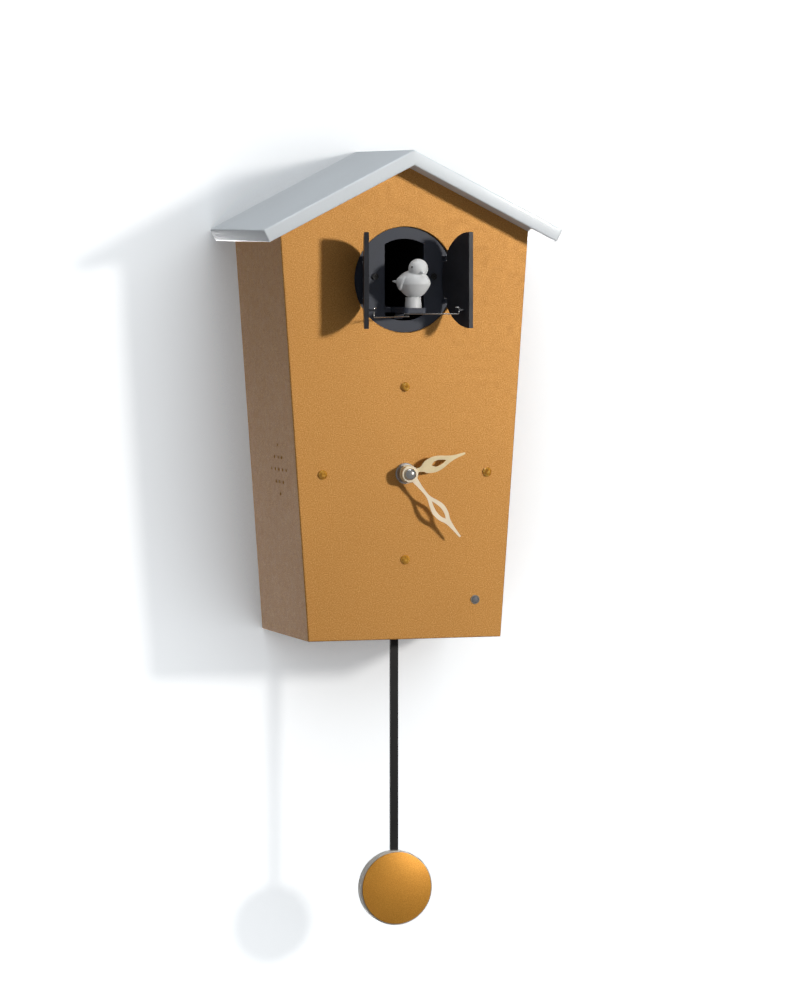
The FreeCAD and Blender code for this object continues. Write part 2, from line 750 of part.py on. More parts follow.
def door(side):
    """Half-round door with hinge barrel and link tab, swung open."""
    half = DOOR_T / 2
    slab = rod_y(0, STAGE_Z, DOOR_R, -HINGE_FORE - half, -HINGE_FORE + half)
    inner = 0.2 * side
    outer = 40.0 * side
    x0 = min(inner, outer)
    x1 = max(inner, outer)
    slab = slab.common(box(x0, x1, -10, 10, STAGE_Z - 40, STAGE_Z + 40))
    for end in (-1, 1):
        z = STAGE_Z + end * (KNUCKLE_HALF + 4)
        near = side * (HINGE_X - 2.4)
        far = side * (HINGE_X + 7)
        slab = slab.cut(box(min(near, far), max(near, far), -12, 8, z - 4, z + 4))
    barrel = rod_z(side * HINGE_X, -HINGE_FORE, half, STAGE_Z - KNUCKLE_HALF, STAGE_Z + KNUCKLE_HALF)
    x, d = link_hole(side)
    tab = box(x - 1.8, x + 1.8, -HINGE_FORE, d + 1.4, TAB_Z, TAB_Z + TAB_T)
    leaf = slab.fuse(barrel).fuse(tab)
    leaf = leaf.cut(rod_z(x, d, LINK_R + RUN_FIT, TAB_Z - 1, TAB_Z + TAB_T + 1))
    bore = HINGE_PIN_R + RUN_FIT
    leaf = leaf.cut(rod_z(side * HINGE_X, -HINGE_FORE, bore, STAGE_Z - 20, STAGE_Z + 20))
    return open_door(leaf.removeSplitter(), side)


def link(side):
    """Steel link wire: eyelet at the carriage screw, hook in the door tab."""
    x, d = link_end(side)
    z = LINK_Z[0] if side < 0 else LINK_Z[1]
    eye = rod_z(0, -LINK_FORE, 2.0, z - LINK_R, z + LINK_R)
    eye = eye.cut(rod_z(0, -LINK_FORE, 1.1, z - 1, z + 1))
    length = math.hypot(x, d + LINK_FORE)
    start = V(0, depth(-LINK_FORE), up(z))
    run = V(x, d + LINK_FORE, 0).multiply(1 / length)
    wire = Part.makeCylinder(LINK_R, length - 1.5, start + run * 1.5, run)
    leg_top = TAB_Z + TAB_T + 0.9
    leg = rod_z(x, d, LINK_R, z - LINK_R, leg_top)
    bend = Part.makeCylinder(LINK_R, 2.2, V(x, depth(d), up(leg_top)), run * -1)
    knee = Part.makeSphere(LINK_R, V(x, depth(d), up(leg_top)))
    return fuse([eye, wire, leg, bend, knee])


def rack():
    """Rack under the carriage, teeth down, a gap over the pinion axis."""
    pitch = math.pi * RACK_MODULE
    root = RACK_PITCH_Z + RACK_MODULE
    beam = box(-RACK_HALF, RACK_HALF, 12, RACK_END, root, DECK_TOP - DECK_T)
    spine = box(-RACK_HALF, RACK_HALF, SLED[1], RACK_END, root, DECK_TOP)
    teeth = []
    for step in range(18):
        middle = PINION_DEPTH - (step - 0.5) * pitch
        if middle > 13:
            tip = RACK_PITCH_Z - 0.8 * RACK_MODULE
            profile = [(-0.29, root), (0.29, root), (0.10, tip), (-0.10, tip)]
            corners = []
            for share, z in profile:
                corners.append(V(-RACK_HALF, depth(middle + share * pitch), up(z)))
            face = Part.Face(Part.makePolygon(corners + [corners[0]]))
            teeth.append(face.extrude(V(2 * RACK_HALF, 0, 0)))
    return fuse([beam, spine] + teeth)


def bird_carriage():
    """Sliding carriage: deck for the bird, sled in the tunnel, rack behind."""
    low = DECK_TOP - DECK_T
    deck = box(-DECK_HALF, DECK_HALF, -DECK_FRONT, SLED[1], low, DECK_TOP)
    edges = []
    for edge in deck.Edges:
        upright = abs(edge.tangentAt(edge.FirstParameter).z) > 0.99
        if upright and edge.CenterOfMass.y < depth(0):
            edges.append(edge)
    deck = deck.makeFillet(3, edges)
    sled = box(-SLED_HALF, SLED_HALF, SLED[0], SLED[1], low, DECK_TOP)
    body = fuse([deck, sled, rack()])
    return body.cut(rod_z(0, -LINK_FORE, 0.9, low - 1, low + 1.8))


def link_screw():
    """Shouldered screw under the deck at the links' pivot."""
    low = DECK_TOP - DECK_T
    shank = rod_z(0, -LINK_FORE, 0.9, SCREW_STUB, low + 1.8)
    return shank.fuse(rod_z(0, -LINK_FORE, 1.9, SCREW_STUB, low)).removeSplitter()


def bird_perch():
    """White sleeve between the deck and the bird."""
    return rod_z(0, -BIRD_FORE, PERCH_R, DECK_TOP, PERCH_TOP)


def ellipsoid(x, y, z, rx, ry, rz):
    """Egg shape given by centre and half axes."""
    ball = Part.makeSphere(1.0)
    matrix = FreeCAD.Matrix()
    matrix.scale(rx, ry, rz)
    ball = ball.transformGeometry(matrix)
    ball.translate(V(x, y, z))
    return ball


def set_bird(shape):
    """Turn a piece drawn facing -Y to the bird's heading and stand it in place."""
    shape.rotate(V(0, 0, 0), V(0, 0, 1), BIRD_YAW)
    shape.translate(V(0, depth(-BIRD_FORE), up(0)))
    return shape


def head_centre():
    """Centre of the bird's head."""
    turn = math.radians(BIRD_YAW)
    d = -BIRD_FORE - HEAD_FORE * math.cos(turn)
    return V(HEAD_FORE * math.sin(turn), depth(d), up(BODY_Z + 10.2))


def eye_places():
    """Centre and outward direction of each eye, one either side of the beak."""
    places = []
    for side in (-1, 1):
        a = math.radians(HEAD_TURN + side * EYE_TURN)
        out = V(math.sin(a), -math.cos(a), 0.18).normalize()
        places.append((head_centre() + out * (HEAD_R - 0.5), out))
    return places


def bird():
    """Plump moulded bird, its body turned aside and its blunt beak facing out."""
    body = ellipsoid(0, -0.2, BODY_Z, 9.2, 12.0, 9.6)
    root = V(-2.0, 8.0, BODY_Z - 0.2)
    tail = Part.makeBox(4.0, TAIL_END - 8.0, 2.2, root)
    tail.rotate(root, V(1, 0, 0), 8)
    tail = tail.makeFillet(0.9, tail.Edges)
    whole = body.fuse(tail)
    for side in (-1, 1):
        whole = whole.fuse(ellipsoid(side * WING_X, 1.8, BODY_Z + 1.2, 3.4, WING_L, 6.0))
    whole = whole.cut(Part.makeBox(40, 40, 20, V(-20, -20, PERCH_TOP - 20)))
    head = Part.makeSphere(HEAD_R, head_centre())
    for place, out in eye_places():
        head = head.cut(Part.makeCylinder(EYE_R + GLUE_GAP, 4, place - out * EYE_R, out))
    look = math.radians(HEAD_TURN)
    ahead = V(math.sin(look), -math.cos(look), -0.3)
    beak = Part.makeCone(1.7, 0.5, 3.4, head_centre() + ahead * 5.4 + V(0, 0, -0.5), ahead)
    return set_bird(whole).fuse(head.fuse(beak))


def bird_eyes():
    """Two bead eyes glued into drilled sockets."""
    return [Part.makeSphere(EYE_R, place) for place, _ in eye_places()]


def cuckoo_housing():
    """Tunnel behind the window, with slide rails and the gear cheeks."""
    front = STAGE_RECESS + STAGE_WEB
    end = tunnel_end()
    back = end + TUNNEL_WALL
    outer = TUNNEL_HALF + TUNNEL_WALL
    low = TUNNEL_LOW - TUNNEL_WALL
    high = TUNNEL_HIGH + TUNNEL_WALL
    rim = BOARD + RIM_T + SLIDE_GAP
    shell = box(-outer, outer, rim, back, low, high)
    shell = shell.fuse(rod_y(0, STAGE_Z, OPENING_R - 3.0, front, rim))
    shell = shell.cut(box(-TUNNEL_HALF, TUNNEL_HALF, front - 1, end, TUNNEL_LOW, TUNNEL_HIGH))
    rail_in = SLED_HALF - 1.5
    for side in (-1, 1):
        x0 = min(side * rail_in, side * outer)
        x1 = max(side * rail_in, side * outer)
        bottom = DECK_TOP - DECK_T - SLIDE_GAP
        top = DECK_TOP + SLIDE_GAP
        shell = shell.fuse(box(x0, x1, front + 1, back - 1, bottom - 1.2, bottom))
        shell = shell.fuse(box(x0, x1, front + 1, back - 1, top, top + 1.2))
    for x in CHEEKS:
        cheek = box(x, x + CHEEK_T, PINION_DEPTH - 11, PINION_DEPTH + 11, motor_z() - 10, low)
        shell = shell.fuse(cheek)
    axis_z = pinion_z()
    shell = shell.cut(box(CHEEKS[0] + CHEEK_T, CHEEKS[1], PINION_DEPTH - 10, PINION_DEPTH + 10,
                          low - 1, TUNNEL_LOW + 1))
    shell = shell.cut(rod_x(PINION_DEPTH, axis_z, AXLE_R + GLUE_GAP, -20, 20))
    shell = shell.cut(rod_x(PINION_DEPTH, motor_z(), 3.2, CHEEKS[0] - 1, 0))
    for x, z in stage_screw_places():
        shell = shell.cut(rod_y(x, z, 1.2 + GLUE_GAP, front - 1, front + 5))
    return shell.removeSplitter()


def pinion_z():
    """Height of the rack pinion axis."""
    return RACK_PITCH_Z - RACK_TEETH * RACK_MODULE / 2


def motor_z():
    """Height of the motor shaft, below the drive gear."""
    return pinion_z() - (GEAR_TEETH + MOTOR_TEETH) * GEAR_MODULE / 2


def drive_gear():
    """Moulded drive gear with the rack pinion on one side."""
    z = pinion_z()
    pinion = gear_x(PINION_DEPTH, z, RACK_TEETH, RACK_MODULE, -3.2, 3.0, math.pi / 2)
    wheel = gear_x(PINION_DEPTH, z, GEAR_TEETH, GEAR_MODULE, -5.6, -3.2, -math.pi / 2)
    pair = pinion.fuse(wheel)
    return pair.cut(rod_x(PINION_DEPTH, z, AXLE_R + RUN_FIT, -10, 10)).removeSplitter()


def drive_axle():
    """Steel axle across the two cheeks."""
    return rod_x(PINION_DEPTH, pinion_z(), AXLE_R, CHEEKS[0], CHEEKS[1] + CHEEK_T)


def motor_pinion():
    """Motor shaft with its pinion, meshing under the drive gear."""
    z = motor_z()
    shaft = rod_x(PINION_DEPTH, z, 1.0, CHEEKS[0] - 6, -2.4)
    phase = math.pi / 2 + math.pi / MOTOR_TEETH
    pinion = gear_x(PINION_DEPTH, z, MOTOR_TEETH, GEAR_MODULE, -5.8, -2.9, phase)
    return shaft.fuse(pinion).removeSplitter()


def drive_motor():
    """Small motor on the outside of the left cheek."""
    z = motor_z()
    x = CHEEKS[0]
    can = rod_x(PINION_DEPTH, z, MOTOR_R, x - MOTOR_L, x)
    boss = rod_x(PINION_DEPTH, z, 3.0, x, x + CHEEK_T)
    lugs = fuse([can, boss])
    return lugs.cut(rod_x(PINION_DEPTH, z, 1.0 + RUN_FIT, x - 6.2, x + 5))


def post_places():
    """Circuit board posts."""
    half, low, high = PCB
    return [(sx * (half - 5), z) for sx in (-1, 1) for z in (low + 5, high - 5)]


def board_posts():
    """Four posts that carry the circuit board off the front board."""
    posts = []
    for x, z in post_places():
        post = rod_y(x, z, POST_R, BOARD, PCB_DEPTH)
        post = post.fuse(rod_y(x, z, 1.2, BOARD - 3, BOARD)).removeSplitter()
        posts.append(post.cut(rod_y(x, z, 1.0 + GLUE_GAP, PCB_DEPTH - 6, PCB_DEPTH + 1)))
    return posts


def board_screws():
    """Four screws holding the circuit board."""
    screws = []
    back = PCB_DEPTH + PCB_T
    for x, z in post_places():
        shank = rod_y(x, z, 1.0, PCB_DEPTH - 5, back)
        screws.append(shank.fuse(rod_y(x, z, 2.0, back, back + 1.3)).removeSplitter())
    return screws


def circuit_board():
    """Sound and motor control board."""
    half, low, high = PCB
    board = rounded_box(-half, half, PCB_DEPTH, PCB_DEPTH + PCB_T, low, high, 2)
    for x, z in post_places():
        board = board.cut(rod_y(x, z, 1.0 + GLUE_GAP, PCB_DEPTH - 1, PCB_DEPTH + 5))
    return board


def board_components():
    """Sound chip, capacitors, coil and plug sockets on the board."""
    back = PCB_DEPTH + PCB_T
    parts = [box(-8, 4, back, back + 2.2, 50, 62)]
    for x, z in ((-20, 60), (-20, 50), (14, 46)):
        parts.append(rod_y(x, z, 3.1, back, back + 8))
    for x in (-24, -12, 0, 12):
        parts.append(box(x - 3.5, x + 3.5, back, back + 5.5, 34, 39.5))
    return parts


def volume_switch():
    """Body of the volume slide switch."""
    back = PCB_DEPTH + PCB_T
    body = box(8, 24, back, back + 5, 64, 70)
    return body.cut(box(10, 22, back + 2, back + 6, 66.0, 68.0))


def volume_lever():
    """Lever of the volume switch, at its middle place."""
    back = PCB_DEPTH + PCB_T
    foot = box(14.4, 17.6, back + 2.3, back + 4.6, 66.3, 67.7)
    return foot.fuse(box(14.8, 17.2, back + 4.6, back + 10, 66.3, 67.7)).removeSplitter()


def button_switch():
    """Body of the demonstration button switch."""
    back = PCB_DEPTH + PCB_T
    body = box(-19, -11, back, back + 4, 63, 71)
    return body.cut(rod_y(-15, 67, 2.0 + SLIDE_GAP, back + 1.5, back + 5))


def demo_button():
    """Sprung button that sets off one call of the bird."""
    back = PCB_DEPTH + PCB_T
    return rod_y(-15, 67, 2.0, back + 2.9, back + 9)


def holder_range():
    """Front and back depth of the battery holder."""
    return HOLDER_DEPTH, HOLDER_DEPTH + 3 * CELL_PITCH + 2 * HOLDER_WALL


def cell_places():
    """Depth and height of the three cell axes."""
    first = HOLDER_DEPTH + HOLDER_WALL + CELL_PITCH / 2
    z = BOARD - BOTTOM_DROP + HOLDER_WALL + CELL_R
    return [(first + step * CELL_PITCH, z) for step in range(3)]


def battery_holder():
    """Open holder for three cells, on the bottom board."""
    front, back = holder_range()
    half = CELL_L / 2 + 3.5
    low = BOARD - BOTTOM_DROP
    tray = box(-half, half, front, back, low, low + 13)
    for d, z in cell_places():
        tray = tray.cut(rod_x(d, z, CELL_R + 0.3, -half + HOLDER_WALL, half - HOLDER_WALL))
        reach = CELL_R + 0.3
        tray = tray.cut(box(-half + HOLDER_WALL, half - HOLDER_WALL, d - reach, d + reach, z, z + 20))
    return tray


def batteries():
    """Three cylindrical cells with their positive caps, alternating."""
    cells = []
    for index, (d, z) in enumerate(cell_places()):
        turn = -1 if index % 2 else 1
        can = rod_x(d, z, CELL_R, -CELL_L / 2, CELL_L / 2 - 1.2)
        cap = rod_x(d, z, 2.7, CELL_L / 2 - 1.2, CELL_L / 2)
        cell = can.fuse(cap).removeSplitter()
        if turn < 0:
            cell.rotate(V(0, depth(d), up(z)), V(0, 0, 1), 180)
        cells.append(cell)
    return cells


def battery_contacts():
    """Sprung contact plates at both ends of each cell."""
    plates = []
    end = CELL_L / 2
    for d, z in cell_places():
        for side in (-1, 1):
            near = side * end
            far = side * (end + 2.0)
            plates.append(box(min(near, far), max(near, far), d - 4, d + 4, z - 5, z + 5))
    return plates


def speaker_frame():
    """Round speaker basket screwed behind the sound holes."""
    throat = SPEAKER_R - 5.2
    ring = Part.makeCylinder(SPEAKER_R, 1.6).cut(Part.makeCylinder(throat, 1.6))
    outer = Part.makeCone(throat + 1, 15, 9, V(0, 0, 1.6))
    inner = Part.makeCone(throat, 14, 9, V(0, 0, 1.6))
    basket = outer.cut(inner)
    for step in range(4):
        slot = Part.makeBox(30, 9, 6, V(0, -4.5, 3.0))
        slot.rotate(V(0, 0, 0), V(0, 0, 1), 45 + 90 * step)
        basket = basket.cut(slot)
    floor = Part.makeCylinder(15, 1.2, V(0, 0, 10.6))
    whole = fuse([ring, basket, floor])
    for x, y in speaker_screw_places():
        whole = whole.cut(Part.makeCylinder(1.0 + GLUE_GAP, 4, V(x, y, -1)))
    return wall_frame(whole)


def speaker_screw_places():
    """Four screws round the speaker rim."""
    reach = SPEAKER_R - 2
    places = []
    for step in range(4):
        a = math.radians(90 * step)
        places.append((reach * math.cos(a), reach * math.sin(a)))
    return places


def speaker_screws():
    """Screws through the speaker rim."""
    screws = []
    for x, y in speaker_screw_places():
        head = Part.makeCylinder(1.9, 1.2, V(x, y, 1.6))
        shank = Part.makeCylinder(1.0, 1.6, V(x, y, 0))
        screws.append(wall_frame(head.fuse(shank).removeSplitter()))
    return screws


def speaker_cone():
    """Paper cone with its dust cap."""
    mouth = SPEAKER_R - 5.6
    outer = Part.makeCone(mouth, 7, 7, V(0, 0, 1.2))
    inner = Part.makeCone(mouth - 0.4, 6.4, 7, V(0, 0, 0.8))
    cap = Part.makeCylinder(7, 0.6, V(0, 0, 7.6))
    return wall_frame(fuse([outer.cut(inner), cap]))


def speaker_magnet():
    """Round magnet on the back of the basket."""
    return wall_frame(Part.makeCylinder(13, 6, V(0, 0, 11.8)))


def lead(points):
    """Insulated wire along straight runs joined by tangent bends."""
    nodes = [V(x, depth(d), up(z)) for x, d, z in points]
    edges = []
    start = nodes[0]
    for here, after in zip(nodes[1:-1], nodes[2:]):
        back = (start - here).normalize()
        ahead = (after - here).normalize()
        half = back.getAngle(ahead) / 2
        cut = WIRE_BEND / math.tan(half)
        a = here + back * cut
        b = here + ahead * cut
        middle = (back + ahead).normalize()
        centre = here + middle * (WIRE_BEND / math.sin(half))
        edges.append(Part.LineSegment(start, a).toShape())
        edges.append(Part.Arc(a, centre - middle * WIRE_BEND, b).toShape())
        start = b
    edges.append(Part.LineSegment(start, nodes[-1]).toShape())
    path = Part.Wire(edges)
    first = edges[0].tangentAt(edges[0].FirstParameter)
    ring = Part.Wire(Part.makeCircle(WIRE_R, nodes[0], first))
    return path.makePipeShell([ring], True, True)


def battery_leads():
    """Two leads from the battery holder up to the circuit board."""
    back = HOLDER_DEPTH
    z = BOARD - BOTTOM_DROP + 6
    plug = PCB_DEPTH + PCB_T + 5.5
    runs = []
    for offset in (0.0, 2.2):
        x = -33 - offset
        top = 26 + offset
        end = -25.1 + offset
        runs.append(lead([(-28.5, back + 6 + offset, z), (x, back + 6 + offset, z),
                          (x, back + 6 + offset, top), (end, back + 6 + offset, top),
                          (end, back + 6 + offset, 36.7), (end, plug, 36.7)]))
    return runs


def speaker_leads():
    """Two leads from the rim of the basket to the circuit board."""
    plug = PCB_DEPTH + PCB_T + 5.5
    z = SPEAKER_Z + SPEAKER_R - 6.8
    x = BOARD - half_width(z) + 7.3
    runs = []
    for offset in (0.0, 2.2):
        end = -13.1 + offset
        d = SPEAKER_DEPTH - 1 + offset
        runs.append(lead([(x, d, z), (end, d, z), (end, d, 36.7), (end, plug, 36.7)]))
    return runs


def motor_leads():
    """Two leads from the motor to the circuit board."""
    plug = PCB_DEPTH + PCB_T + 5.5
    z = motor_z()
    can = CHEEKS[0] - MOTOR_L
    runs = []
    for offset in (0.0, 2.2):
        end = -1.1 + offset
        x = can - 7 - offset
        d = PINION_DEPTH + 3 * offset - 3
        low = 45 + offset
        across = 42 + offset
        runs.append(lead([(can, d, z), (x, d, z), (x, d, low), (end, d, low),
                          (end, across, low), (end, across, 36.7), (end, plug, 36.7)]))
    return runs


def sensor_leads():
    """Two leads from the light sensor to the circuit board."""
    plug = PCB_DEPTH + PCB_T + 5.5
    x, z = sensor_place()
    runs = []
    for offset in (0.0, 2.2):
        end = 10.9 + offset
        place = x - 1.1 + offset
        across = 15 + 3 * offset
        runs.append(lead([(place, BOARD + 2, z), (place, across, z), (place, across, 16 + offset),
                          (place, 46 + offset, 16 + offset), (end, 46 + offset, 16 + offset),
                          (end, 46 + offset, 36.7), (end, plug, 36.7)]))
    return runs


def main():
    os.makedirs("parts", exist_ok=True)
    export("front_board", front_board())
    export("left_side_board", left_side_board())
    export("right_side_board", side_strip(1))
    export("bottom_board", bottom_board())
    export("left_roof_board", roof_board(-1))
    export("right_roof_board", roof_board(1))
    export("corner_blocks", *corner_blocks())
    export("back_panel", back_panel())
    screws = [back_screw(x, z, 14) for x, z in screw_places()]
    screws.extend(back_screw(x, z, BACK_T) for x, z in hanger_places())
    export("back_screws", *screws)
    export("hanger_plate", hanger_plate())
    export("hour_stones", *hour_stones())
    export("sensor_ring", sensor_ring())
    export("light_sensor", light_sensor())
    export("shaft_washer", shaft_washer())
    export("shaft_nut", shaft_nut())
    export("hour_hand", hour_hand())
    export("minute_hand", minute_hand())
    export("hand_nut", hand_nut())
    export("movement_case", movement_case())
    export("movement_cover", movement_cover())
    export("movement_coil", movement_coil())
    export("minute_arbor", minute_arbor())
    export("minute_wheel", minute_wheel())
    export("hour_tube", hour_tube())
    export("setting_knob", setting_knob())
    export("pendulum_hanger", pendulum_hanger())
    export("pendulum_magnet", pendulum_magnet())
    export("pendulum_rod", pendulum_rod())
    export("bob_body", bob_body())
    export("bob_face", bob_face())
    export("stage_plate", stage_plate())
    export("stage_screws", *stage_screws())
    export("hinge_pins", *hinge_pins())
    export("left_door", door(-1))
    export("right_door", door(1))
    export("left_link", link(-1))
    export("right_link", link(1))
    export("link_screw", link_screw())
    export("bird_carriage", bird_carriage())
    export("bird_perch", bird_perch())
    export("bird", bird())
    export("bird_eyes", *bird_eyes())
    export("cuckoo_housing", cuckoo_housing())
    export("drive_gear", drive_gear())
    export("drive_axle", drive_axle())
    export("drive_motor", drive_motor())
    export("motor_pinion", motor_pinion())
    export("board_posts", *board_posts())
    export("circuit_board", circuit_board())
    export("board_components", volume_switch(), button_switch(), *board_components())
    export("volume_lever", volume_lever())
    export("demo_button", demo_button())
    export("battery_holder", battery_holder())
    export("batteries", *batteries())
    export("battery_contacts", *battery_contacts())
    export("speaker_frame", speaker_frame())
    export("speaker_cone", speaker_cone())
    export("speaker_magnet", speaker_magnet())
    export("pan_screws", *(board_screws() + speaker_screws()))
    leads = battery_leads() + speaker_leads() + motor_leads() + sensor_leads()
    export("wiring", *leads)


main()
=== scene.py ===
import bmesh
import bpy
import json
import math
from mathutils import Matrix, Vector


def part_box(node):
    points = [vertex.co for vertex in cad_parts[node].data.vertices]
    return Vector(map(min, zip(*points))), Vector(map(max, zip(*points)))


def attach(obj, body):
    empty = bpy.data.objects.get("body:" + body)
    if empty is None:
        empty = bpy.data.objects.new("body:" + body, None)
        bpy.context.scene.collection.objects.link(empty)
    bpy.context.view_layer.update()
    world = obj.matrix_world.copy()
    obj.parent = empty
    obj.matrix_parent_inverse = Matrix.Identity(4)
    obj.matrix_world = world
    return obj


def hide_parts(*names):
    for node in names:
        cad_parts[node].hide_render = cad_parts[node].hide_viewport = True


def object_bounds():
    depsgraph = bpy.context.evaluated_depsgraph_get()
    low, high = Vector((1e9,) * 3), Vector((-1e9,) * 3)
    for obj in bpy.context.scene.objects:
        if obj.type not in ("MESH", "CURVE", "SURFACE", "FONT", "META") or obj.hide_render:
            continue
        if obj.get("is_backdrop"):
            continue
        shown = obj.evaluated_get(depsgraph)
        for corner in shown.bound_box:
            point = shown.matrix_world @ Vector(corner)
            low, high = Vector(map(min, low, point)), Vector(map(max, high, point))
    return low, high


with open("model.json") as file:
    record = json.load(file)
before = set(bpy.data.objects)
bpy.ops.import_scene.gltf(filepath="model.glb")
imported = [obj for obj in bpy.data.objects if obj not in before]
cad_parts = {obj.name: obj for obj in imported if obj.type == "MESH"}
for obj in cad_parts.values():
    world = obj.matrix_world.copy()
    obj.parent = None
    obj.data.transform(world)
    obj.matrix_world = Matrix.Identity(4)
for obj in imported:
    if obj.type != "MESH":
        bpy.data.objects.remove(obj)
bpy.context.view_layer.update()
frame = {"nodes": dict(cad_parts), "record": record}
bpy.context.scene.view_settings.view_transform = "Standard"

# Wall, floor and light.  The clock hangs on a plain white wall, lit by one
# lamp high on the right, a wide soft lamp above and pale light all round.
joint_at = {j["name"]: Vector(j["pos_m"])
            for j in frame["record"]["behaviour"]["joints"] if "pos_m" in j}
dial = Vector((0.0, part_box("front_board")[0].y, joint_at["minute_turn"].z))


def surface(name, metal=0.0, coat=0.0, coat_rough=0.1):
    """Empty lacquer, plastic or metal finish; colour and texture are wired in afterwards."""
    finish = bpy.data.materials.new(name)
    finish.use_nodes = True
    shader = finish.node_tree.nodes["Principled BSDF"]
    shader.inputs["Metallic"].default_value = metal
    shader.inputs["Coat Weight"].default_value = coat
    shader.inputs["Coat Roughness"].default_value = coat_rough
    return finish, finish.node_tree, shader


def join(tree, source, target):
    tree.links.new(source, target)


def grain(tree, size, detail=3.0, rough=0.5, stretch=(1, 1, 1)):
    """Noise whose features are about size metres across."""
    place = tree.nodes.new("ShaderNodeTexCoord")
    scale = tree.nodes.new("ShaderNodeMapping")
    scale.inputs["Scale"].default_value = stretch
    noise = tree.nodes.new("ShaderNodeTexNoise")
    noise.inputs["Scale"].default_value = 1.0 / size
    noise.inputs["Detail"].default_value = detail
    noise.inputs["Roughness"].default_value = rough
    join(tree, place.outputs["Object"], scale.inputs["Vector"])
    join(tree, scale.outputs["Vector"], noise.inputs["Vector"])
    return noise.outputs["Fac"]


def shades(tree, fac, stops):
    """Colours along a ramp driven by fac."""
    ramp = tree.nodes.new("ShaderNodeValToRGB")
    bar = ramp.color_ramp
    while len(bar.elements) < len(stops):
        bar.elements.new(0.5)
    for element, (at, colour) in zip(bar.elements, stops):
        element.position = at
        element.color = (*colour, 1.0)
    join(tree, fac, ramp.inputs["Fac"])
    return ramp.outputs["Color"]


def one_sided(name, colour, glow, painted_shade_glow):
    """Backdrop paint that shows only from the room side; it glows, and the glow drops to painted
    shade where things stand close in front of it.
    """
    finish, tree, shader = surface(name)
    # Painted shade: the AO node lowers the glow next to the clock, standing in for the soft shadow
    # the case casts on the wall.
    corner = tree.nodes.new("ShaderNodeAmbientOcclusion")
    corner.inputs["Distance"].default_value = 0.3
    corner.samples = 8
    painted_shade_fade = tree.nodes.new("ShaderNodeMapRange")
    painted_shade_fade.inputs["From Min"].default_value = 0.45
    painted_shade_fade.inputs["From Max"].default_value = 0.98
    painted_shade_fade.inputs["To Min"].default_value = painted_shade_glow
    painted_shade_fade.inputs["To Max"].default_value = glow
    join(tree, corner.outputs["AO"], painted_shade_fade.inputs["Value"])
    join(tree, painted_shade_fade.outputs["Result"], shader.inputs["Emission Strength"])
    tone = grain(tree, 0.25, 2.0)
    join(tree, shades(tree, tone, [(0.3, tuple(c * 0.985 for c in colour)), (0.7, colour)]),
         shader.inputs["Base Color"])
    shader.inputs["Roughness"].default_value = 0.9
    shader.inputs["Emission Color"].default_value = (0.93, 0.97, 1.0, 1.0)
    side = tree.nodes.new("ShaderNodeNewGeometry")
    clear = tree.nodes.new("ShaderNodeBsdfTransparent")
    pick = tree.nodes.new("ShaderNodeMixShader")
    out = tree.nodes["Material Output"]
    join(tree, side.outputs["Backfacing"], pick.inputs["Fac"])
    join(tree, shader.outputs["BSDF"], pick.inputs[1])
    join(tree, clear.outputs["BSDF"], pick.inputs[2])
    join(tree, pick.outputs["Shader"], out.inputs["Surface"])
    return finish


def backdrop(name, corners, finish):
    """Flat sheet behind the clock that is seen but neither lights nor shades it."""
    mesh = bpy.data.meshes.new(name)
    mesh.from_pydata(corners, [], [tuple(range(len(corners)))])
    mesh.materials.append(finish)
    sheet = bpy.data.objects.new(name, mesh)
    sheet.visible_diffuse = False
    sheet.visible_glossy = False
    sheet.visible_shadow = False
    bpy.context.scene.collection.objects.link(sheet)
    sheet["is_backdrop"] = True


wall_y = 0.0002
floor_z = -1.3
room_half = 5
room_top = 4
# The wall glows white and drops to painted shade close around the clock; floor and room walls glow
# evenly.
wall_paint = one_sided("wall_white", (0.70, 0.71, 0.72), 0.80, 0.14)
floor_paint = one_sided("floor_white", (0.82, 0.82, 0.83), 0.1, 0.1)
backdrop("wall", [(-4, wall_y, floor_z), (4, wall_y, floor_z), (4, wall_y, 3), (-4, wall_y, 3)],
         wall_paint)
corners = [(-room_half, -room_half), (room_half, -room_half), (room_half, room_half),
           (-room_half, room_half)]
backdrop("floor", [(x, y, floor_z) for x, y in corners], floor_paint)
room_paint = one_sided("room_white", (0.78, 0.78, 0.79), 0.62, 0.62)
for name, start, end in (("room_left", 0, 3), ("room_right", 2, 1), ("room_near", 1, 0)):
    a, b = corners[start], corners[end]
    backdrop(name, [(*a, floor_z), (*b, floor_z), (*b, room_top), (*a, room_top)], room_paint)

camera_far = 3.2452
camera_left = 0.00345
camera_down = 0.0181
to_camera = Vector((-0.3086, -0.9493, 0.0604)).normalized()
camera = bpy.data.objects.new("camera", bpy.data.cameras.new("camera"))
bpy.context.scene.collection.objects.link(camera)
camera.data.lens = 175.07
camera.rotation_mode = "QUATERNION"
camera.rotation_quaternion = (-to_camera).to_track_quat("-Z", "Y")
turned = camera.rotation_quaternion.to_matrix()
camera.location = (dial + to_camera * camera_far
                   - turned.col[0] * camera_left - turned.col[1] * camera_down)
camera.data.clip_end = 30
bpy.context.scene.camera = camera


def lamp(name, spot, target, size, power, colour):
    """Round soft lamp at spot, turned towards target; power in watts."""
    light = bpy.data.lights.new(name, "AREA")
    light.shape = "DISK"
    light.size = size
    light.energy = power
    light.color = colour
    body = bpy.data.objects.new(name, light)
    bpy.context.scene.collection.objects.link(body)
    body.location = spot
    body.rotation_mode = "QUATERNION"
    body.rotation_quaternion = (Vector(target) - Vector(spot)).to_track_quat("-Z", "Y")


